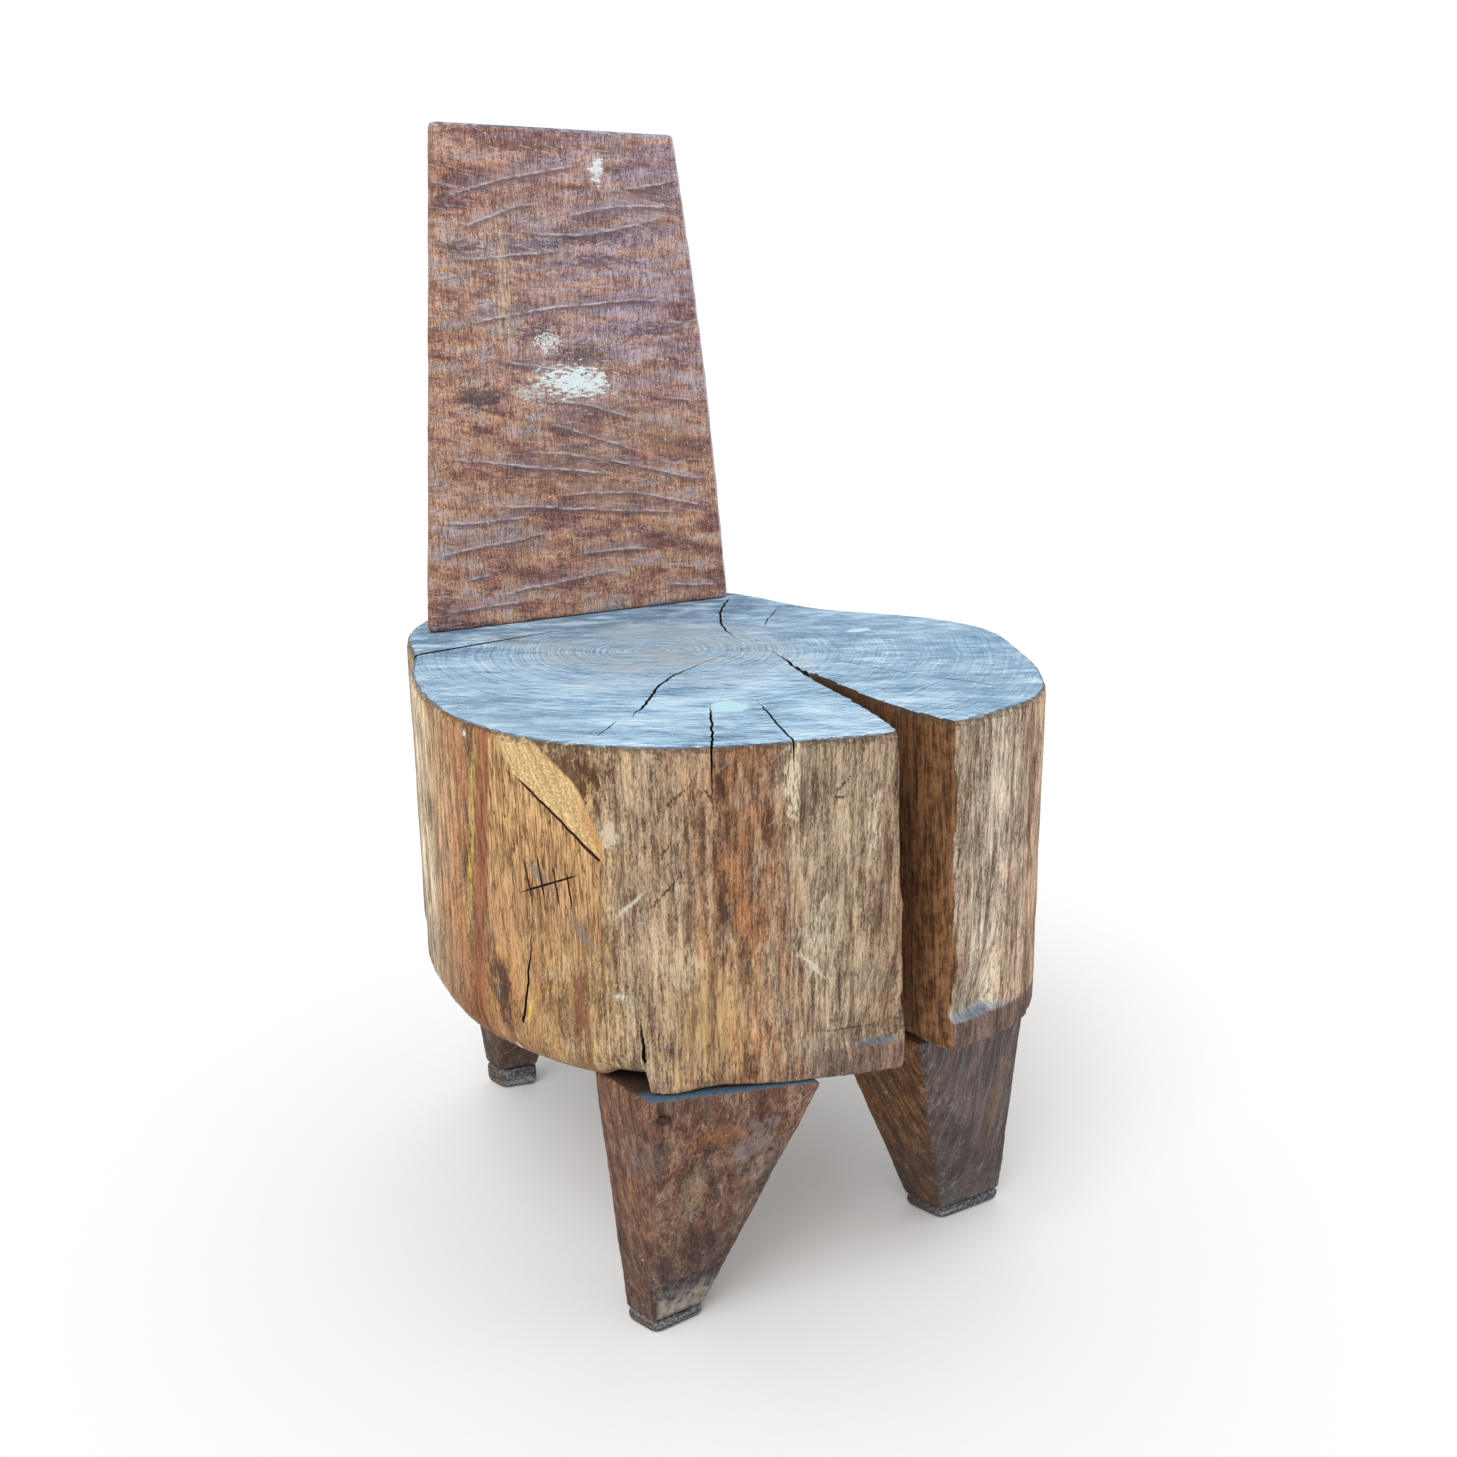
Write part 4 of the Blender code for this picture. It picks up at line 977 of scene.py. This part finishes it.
def adze_work():
    """Tree that scoops a face above each given line, so that the stroke ends in a lip along it."""
    tree, given = new_tree("adze strokes", ADZE, {"Lines": "Object"})
    drawn = add(tree, "GeometryNodeObjectInfo", {"Object": given["Lines"]}).outputs["Geometry"]
    spaced = add(tree, "GeometryNodeResampleCurve", {"Curve": drawn, "Length": given["Step"]}, mode="LENGTH")
    along = add(tree, "GeometryNodeSplineParameter", {}).outputs["Factor"]
    left = add(tree, "ShaderNodeMath", {0: 1.0, 1: along}, operation="SUBTRACT")
    nearer = add(tree, "ShaderNodeMath", {0: along, 1: left}, operation="MINIMUM")
    faded = add(
        tree, "GeometryNodeStoreNamedAttribute",
        {"Geometry": spaced, "Name": "fade", "Value": ramp(tree, nearer, 0.0, 0.2)},
        data_type="FLOAT", domain="POINT",
    )
    place = add(tree, "GeometryNodeInputPosition", {})
    noise = add(tree, "ShaderNodeTexNoise", {"Vector": place, "Scale": 1 / (34 * MM), "Detail": 2.0})
    middled = add(tree, "ShaderNodeMath", {0: noise, 1: 0.5}, operation="SUBTRACT")
    offset = add(tree, "ShaderNodeCombineXYZ", {"Z": product(tree, middled, given["Wander"])})
    wandering = add(tree, "GeometryNodeSetPosition", {"Geometry": faded, "Offset": offset})
    lines = add(tree, "GeometryNodeCurveToMesh", {"Curve": wandering})

    nearest = add(tree, "GeometryNodeProximity", {"Geometry": lines}, target_element="EDGES").outputs
    index = add(tree, "GeometryNodeSampleNearest", {"Geometry": lines})
    kept = add(tree, "GeometryNodeInputNamedAttribute", {"Name": "fade"}, data_type="FLOAT")
    strength = add(tree, "GeometryNodeSampleIndex", {"Geometry": lines, "Value": kept, "Index": index})
    away = add(tree, "ShaderNodeVectorMath", {0: place, 1: nearest["Position"]}, operation="SUBTRACT")
    height = add(tree, "ShaderNodeSeparateXYZ", {"Vector": away}).outputs["Z"]
    over = add(tree, "ShaderNodeMath", {0: height, 1: 0.0}, operation="GREATER_THAN")
    sign = add(tree, "ShaderNodeMath", {0: over, 1: 2.0, 2: -1.0}, operation="MULTIPLY_ADD")
    signed = add(tree, "ShaderNodeMath", {0: nearest["Distance"], 1: sign}, operation="MULTIPLY")
    scooped = ramp(tree, signed, given["Reach"], 0.0)
    above = add(tree, "ShaderNodeMapRange", {"Value": signed, "From Min": -0.5 * MM, "From Max": 0.8 * MM})
    inward = product(tree, scooped, above, strength, given["Depth"], -1.0)
    normal = add(tree, "GeometryNodeInputNormal", {})
    sunk = add(tree, "ShaderNodeVectorMath", {0: normal, "Scale": inward}, operation="SCALE")
    shape = given["Geometry"]
    for name, value in (("lip", signed), ("lip strength", strength)):
        shape = add(
            tree, "GeometryNodeStoreNamedAttribute", {"Geometry": shape, "Name": name, "Value": value},
            data_type="FLOAT", domain="POINT",
        )
    scoop = add(tree, "GeometryNodeSetPosition", {"Geometry": shape, "Offset": sunk})
    return close_tree(tree, scoop, given["Material"])


def wedge_cut():
    """Tree that runs a wedge along a line, wandering as a crack does and thinning out at either end."""
    tree, given = new_tree(
        "wedge along a line", ("Half width", "Depth", "Step", "Wander", "Opening", "Closing", "Seed"),
        {"Outward": "Vector"},
    )
    line = add(
        tree, "GeometryNodeResampleCurve", {"Curve": given["Geometry"], "Length": given["Step"]},
        mode="LENGTH",
    )
    place = add(tree, "GeometryNodeInputPosition", {})
    shifted = add(tree, "ShaderNodeVectorMath", {0: place, 1: given["Seed"]}, operation="ADD")
    noise = add(tree, "ShaderNodeTexNoise", {"Vector": shifted, "Scale": 1 / (9 * MM), "Detail": 3.0})
    middled = add(tree, "ShaderNodeMath", {0: noise, 1: 0.5}, operation="SUBTRACT")
    swing = product(tree, middled, given["Wander"])
    tangent = add(tree, "GeometryNodeInputTangent", {})
    across = add(tree, "ShaderNodeVectorMath", {0: tangent, 1: given["Outward"]}, operation="CROSS_PRODUCT")
    sideways = add(tree, "ShaderNodeVectorMath", {0: across}, operation="NORMALIZE")
    offset = add(tree, "ShaderNodeVectorMath", {0: sideways, "Scale": swing}, operation="SCALE")
    wandering = add(tree, "GeometryNodeSetPosition", {"Geometry": line, "Offset": offset})
    upright = add(tree, "GeometryNodeSetCurveNormal", {"Curve": wandering, "Normal": sideways}, mode="FREE")
    along = add(tree, "GeometryNodeSplineParameter", {}).outputs["Factor"]
    left = add(tree, "ShaderNodeMath", {0: 1.0, 1: along}, operation="SUBTRACT")
    opening, closing = (
        add(
            tree, "ShaderNodeMapRange", {"Value": way, "From Max": given[end], "To Min": 0.08},
            interpolation_type="SMOOTHSTEP",
        )
        for way, end in ((along, "Opening"), (left, "Closing"))
    )
    foot = product(tree, given["Half width"], 0.12)
    above = product(tree, given["Depth"], -0.3)
    corners = [
        add(tree, "ShaderNodeCombineXYZ", {"X": aside, "Y": down})
        for aside, down in (
            (product(tree, given["Half width"], -1.0), above), (given["Half width"], above),
            (foot, given["Depth"]), (product(tree, foot, -1.0), given["Depth"]),
        )
    ]
    profile = add(
        tree, "GeometryNodeCurvePrimitiveQuadrilateral",
        {f"Point {number}": corner for number, corner in enumerate(corners, start=1)}, mode="POINTS",
    )
    wedge = add(
        tree, "GeometryNodeCurveToMesh",
        {"Curve": upright, "Profile Curve": profile, "Scale": product(tree, opening, closing),
         "Fill Caps": True},
    )
    return close_tree(tree, wedge, given["Material"])


def use_tree(thing, tree, values):
    """Give an object a Geometry Nodes modifier with its inputs set."""
    modifier = thing.modifiers.new(tree.name, "NODES")
    sockets = {
        item.name: item.identifier for item in tree.interface.items_tree
        if item.item_type == "SOCKET" and item.in_out == "INPUT"
    }
    modifier.node_group = tree
    for name, value in values.items():
        modifier[sockets[name]] = value


def settle(thing):
    """The object's evaluated shape as a plain mesh."""
    graph = bpy.context.evaluated_depsgraph_get()
    return bpy.data.meshes.new_from_object(
        thing.evaluated_get(graph), preserve_all_data_layers=True, depsgraph=graph,
    )


def new_object(name, data):
    """Link an object into the scene."""
    thing = bpy.data.objects.new(name, data)
    bpy.context.scene.collection.objects.link(thing)
    return thing


def new_lines(name, lines):
    """A curve object with one open line through each list of points."""
    curve = bpy.data.curves.new(name, "CURVE")
    curve.dimensions = "3D"
    for points in lines:
        spline = curve.splines.new("BEZIER")
        spline.bezier_points.add(len(points) - 1)
        for target, point in zip(spline.bezier_points, points):
            target.co = point
            target.handle_left_type = target.handle_right_type = "AUTO"
    return new_object(name, curve)


def cut_line(name, points, outward, cut, tree, material):
    """A wedge that cuts one crack or tool mark into a surface."""
    line = new_lines(f"{name}_line", [points])
    use_tree(line, tree, {
        "Outward": outward, "Half width": cut.width / 2 * MM, "Depth": cut.depth * MM, "Step": CUT_STEP,
        "Wander": cut.wander * MM, "Opening": cut.opening, "Closing": cut.closing,
        "Seed": cut.width + cut.depth, "Material": material,
    })
    cutter = new_object(name, settle(line))
    bpy.data.objects.remove(line)
    return cutter


def on_side(bearing, height):
    """Point of the log's side at a bearing and a height in millimetres, and the way out from there."""
    outward = Vector((math.sin(math.radians(bearing)), -math.cos(math.radians(bearing)), 0.0))
    start = Vector((*LOG_AXIS, height * MM)) + outward
    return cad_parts["seat_block"].ray_cast(start, -outward)[1], outward


def on_back(across, height):
    """Point of the back's front face at millimetres across and up."""
    start = Vector((across * MM, -1.0, height * MM))
    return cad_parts["back_slab"].ray_cast(start, Vector((0.0, 1.0, 0.0)))[1]


def block_cutters():
    """The wedges that cut every crack and tool mark into the block."""
    tree = wedge_cut()
    # Cracks are lined with near black wood and tool marks with dark wood: painted shadow in the hollows.
    crack_shadow = raw_wood_in_shade("raw wood in a drying crack, painted shadow", "#17100C", "#3C2A1E")
    tool_mark_shade = raw_wood_in_shade("raw wood in a tool mark, painted shade", "#2E1D12", "#6A4A2E")
    cutters = []
    for name, cut in SEAT_CUTS.items():
        points = [Vector((x * MM, y * MM, SEAT)) for x, y in cut.points]
        cutters.append(cut_line(name, points, Vector((0.0, 0.0, 1.0)), cut, tree, crack_shadow))
    for name, cut in SIDE_CUTS.items():
        spots = [on_side(bearing, height) for bearing, height in cut.points]
        outward = sum((way for place, way in spots), Vector()).normalized()
        wood = crack_shadow if name.startswith("crack") else tool_mark_shade
        cutters.append(cut_line(name, [place for place, way in spots], outward, cut, tree, wood))
    return cutters


def weather(relief, wear, material):
    """The relief's tree and its values for one kind of wear."""
    return relief, {
        "Fibre depth": wear.fibre_depth * MM, "Fibre size": tuple(size * MM for size in wear.fibre_size),
        "Dent depth": wear.dent_depth * MM, "Dent size": wear.dent_size * MM,
        "Level share": wear.level_share, "Seed": wear.seed, "Material": material,
    }


def refine(node, wear, steps, cutters=()):
    """A finer copy of a CAD node in its place: remeshed evenly, eased, worked by Geometry Nodes, then cut."""
    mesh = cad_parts[node].data.copy()
    shape = bmesh.new()
    shape.from_mesh(mesh)
    bmesh.ops.remove_doubles(shape, verts=shape.verts, dist=0.01 * MM)
    shape.to_mesh(mesh)
    shape.free()
    mesh.materials.clear()
    piece = new_object(f"{node}_wood", mesh)
    remesh = piece.modifiers.new("even faces", "REMESH")
    remesh.mode = "VOXEL"
    remesh.voxel_size = wear.voxel * MM
    remesh.use_smooth_shade = True
    if wear.rounds:
        ease = piece.modifiers.new("eased arrises", "SMOOTH")
        ease.factor = 0.5
        ease.iterations = wear.rounds
    for tree, values in steps:
        use_tree(piece, tree, values)
    for cutter in cutters:
        boolean = piece.modifiers.new(cutter.name, "BOOLEAN")
        boolean.operation = "DIFFERENCE"
        boolean.solver = "MANIFOLD"
        boolean.object = cutter
        boolean.material_mode = "TRANSFER"
    fine = settle(piece)
    piece.modifiers.clear()
    piece.data = fine
    fine.shade_smooth()
    fine.set_sharp_from_angle(angle=SHARP_ANGLE)
    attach(piece, "root")
    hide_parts(node)


def make_pieces():
    """Every piece of the chair, refined from its CAD node or dressed as it is."""
    relief = hewn_relief()
    cutters = block_cutters()
    log = weathered_log()
    torn = {**TORN_EDGE, "Foot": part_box("seat_block")[0].z, "Material": log}
    refine("seat_block", BLOCK_WEAR, [(torn_edge(), torn), weather(relief, BLOCK_WEAR, log)], cutters)
    for cutter in cutters:
        bpy.data.objects.remove(cutter)

    strokes = new_lines("adze_lines", [[on_back(*end) for end in stroke] for stroke in ADZE_STROKES])
    red = hewn_back()
    adzed = {**ADZE, "Lines": strokes, "Material": red}
    refine("back_slab", BACK_WEAR, [weather(relief, BACK_WEAR, red), (adze_work(), adzed)])
    bpy.data.objects.remove(strokes)

    heartwood = {node: hewn_leg(leg) for node, leg in FRONT_LEGS.items()}
    damp = hewn_leg(REAR_LEGS)
    pad, iron, peg = worn_pad(), rusted_iron(), peg_end()
    for node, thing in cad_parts.items():
        if node.startswith("leg_") and "nail" not in node:
            refine(node, LEG_WEAR, [weather(relief, LEG_WEAR, heartwood.get(node, damp))])
        elif node.startswith("foot_pad_"):
            refine(node, PAD_WEAR, [weather(relief, PAD_WEAR, pad)])
        elif "nail" in node or "peg" in node:
            thing.data.materials.clear()
            thing.data.materials.append(iron if "nail" in node else peg)


def make_stage():
    """Plain white floor, even white sky and one broad soft sun."""
    bpy.ops.mesh.primitive_plane_add(size=FLOOR_SIZE)
    floor = bpy.context.object
    floor.name = "floor"
    paper = bpy.data.materials.new("matt white floor")
    paper.use_nodes = True
    shader = paper.node_tree.nodes["Principled BSDF"]
    shader.inputs["Base Color"].default_value = linear(FLOOR_TONE)
    shader.inputs["Roughness"].default_value = 0.9
    shader.inputs["Specular IOR Level"].default_value = 0.0
    floor.data.materials.append(paper)

    world = bpy.data.worlds.new("studio sky")
    world.use_nodes = True
    tree = world.node_tree
    tree.nodes.clear()
    rays = add(tree, "ShaderNodeLightPath", {})
    seen = add(
        tree, "ShaderNodeMath",
        {0: rays.outputs["Is Camera Ray"], 1: rays.outputs["Is Glossy Ray"]}, operation="MAXIMUM",
    )
    strength = add(tree, "ShaderNodeMix", {"Factor": seen, "A": SKY_LIGHT, "B": 1.0}, data_type="FLOAT")
    sky = add(tree, "ShaderNodeBackground", {"Color": (1.0, 1.0, 1.0, 1.0), "Strength": strength})
    add(tree, "ShaderNodeOutputWorld", {"Surface": sky})
    bpy.context.scene.world = world

    light = bpy.data.lights.new("soft sun", "SUN")
    light.energy = SUN_STRENGTH
    light.angle = SUN_SPREAD
    lamp = new_object("soft_sun", light)
    lamp.rotation_euler = Vector(SUN_FROM).to_track_quat("Z", "Y").to_euler()


def make_camera():
    """The photograph's camera."""
    data = bpy.data.cameras.new("photo camera")
    data.lens = CAMERA_LENS
    data.sensor_width = CAMERA_SENSOR
    camera = new_object("photo_camera", data)
    turn, dip, roll = (math.radians(angle) for angle in (CAMERA_TURN, 90.0 - CAMERA_DIP, CAMERA_ROLL))
    camera.matrix_world = (
        Matrix.Translation(CAMERA_PLACE) @ Matrix.Rotation(turn, 4, "Z")
        @ Matrix.Rotation(dip, 4, "X") @ Matrix.Rotation(roll, 4, "Z")
    )
    bpy.context.scene.camera = camera


bpy.context.scene.view_settings.view_transform = "Standard"
make_stage()
make_camera()
make_pieces()
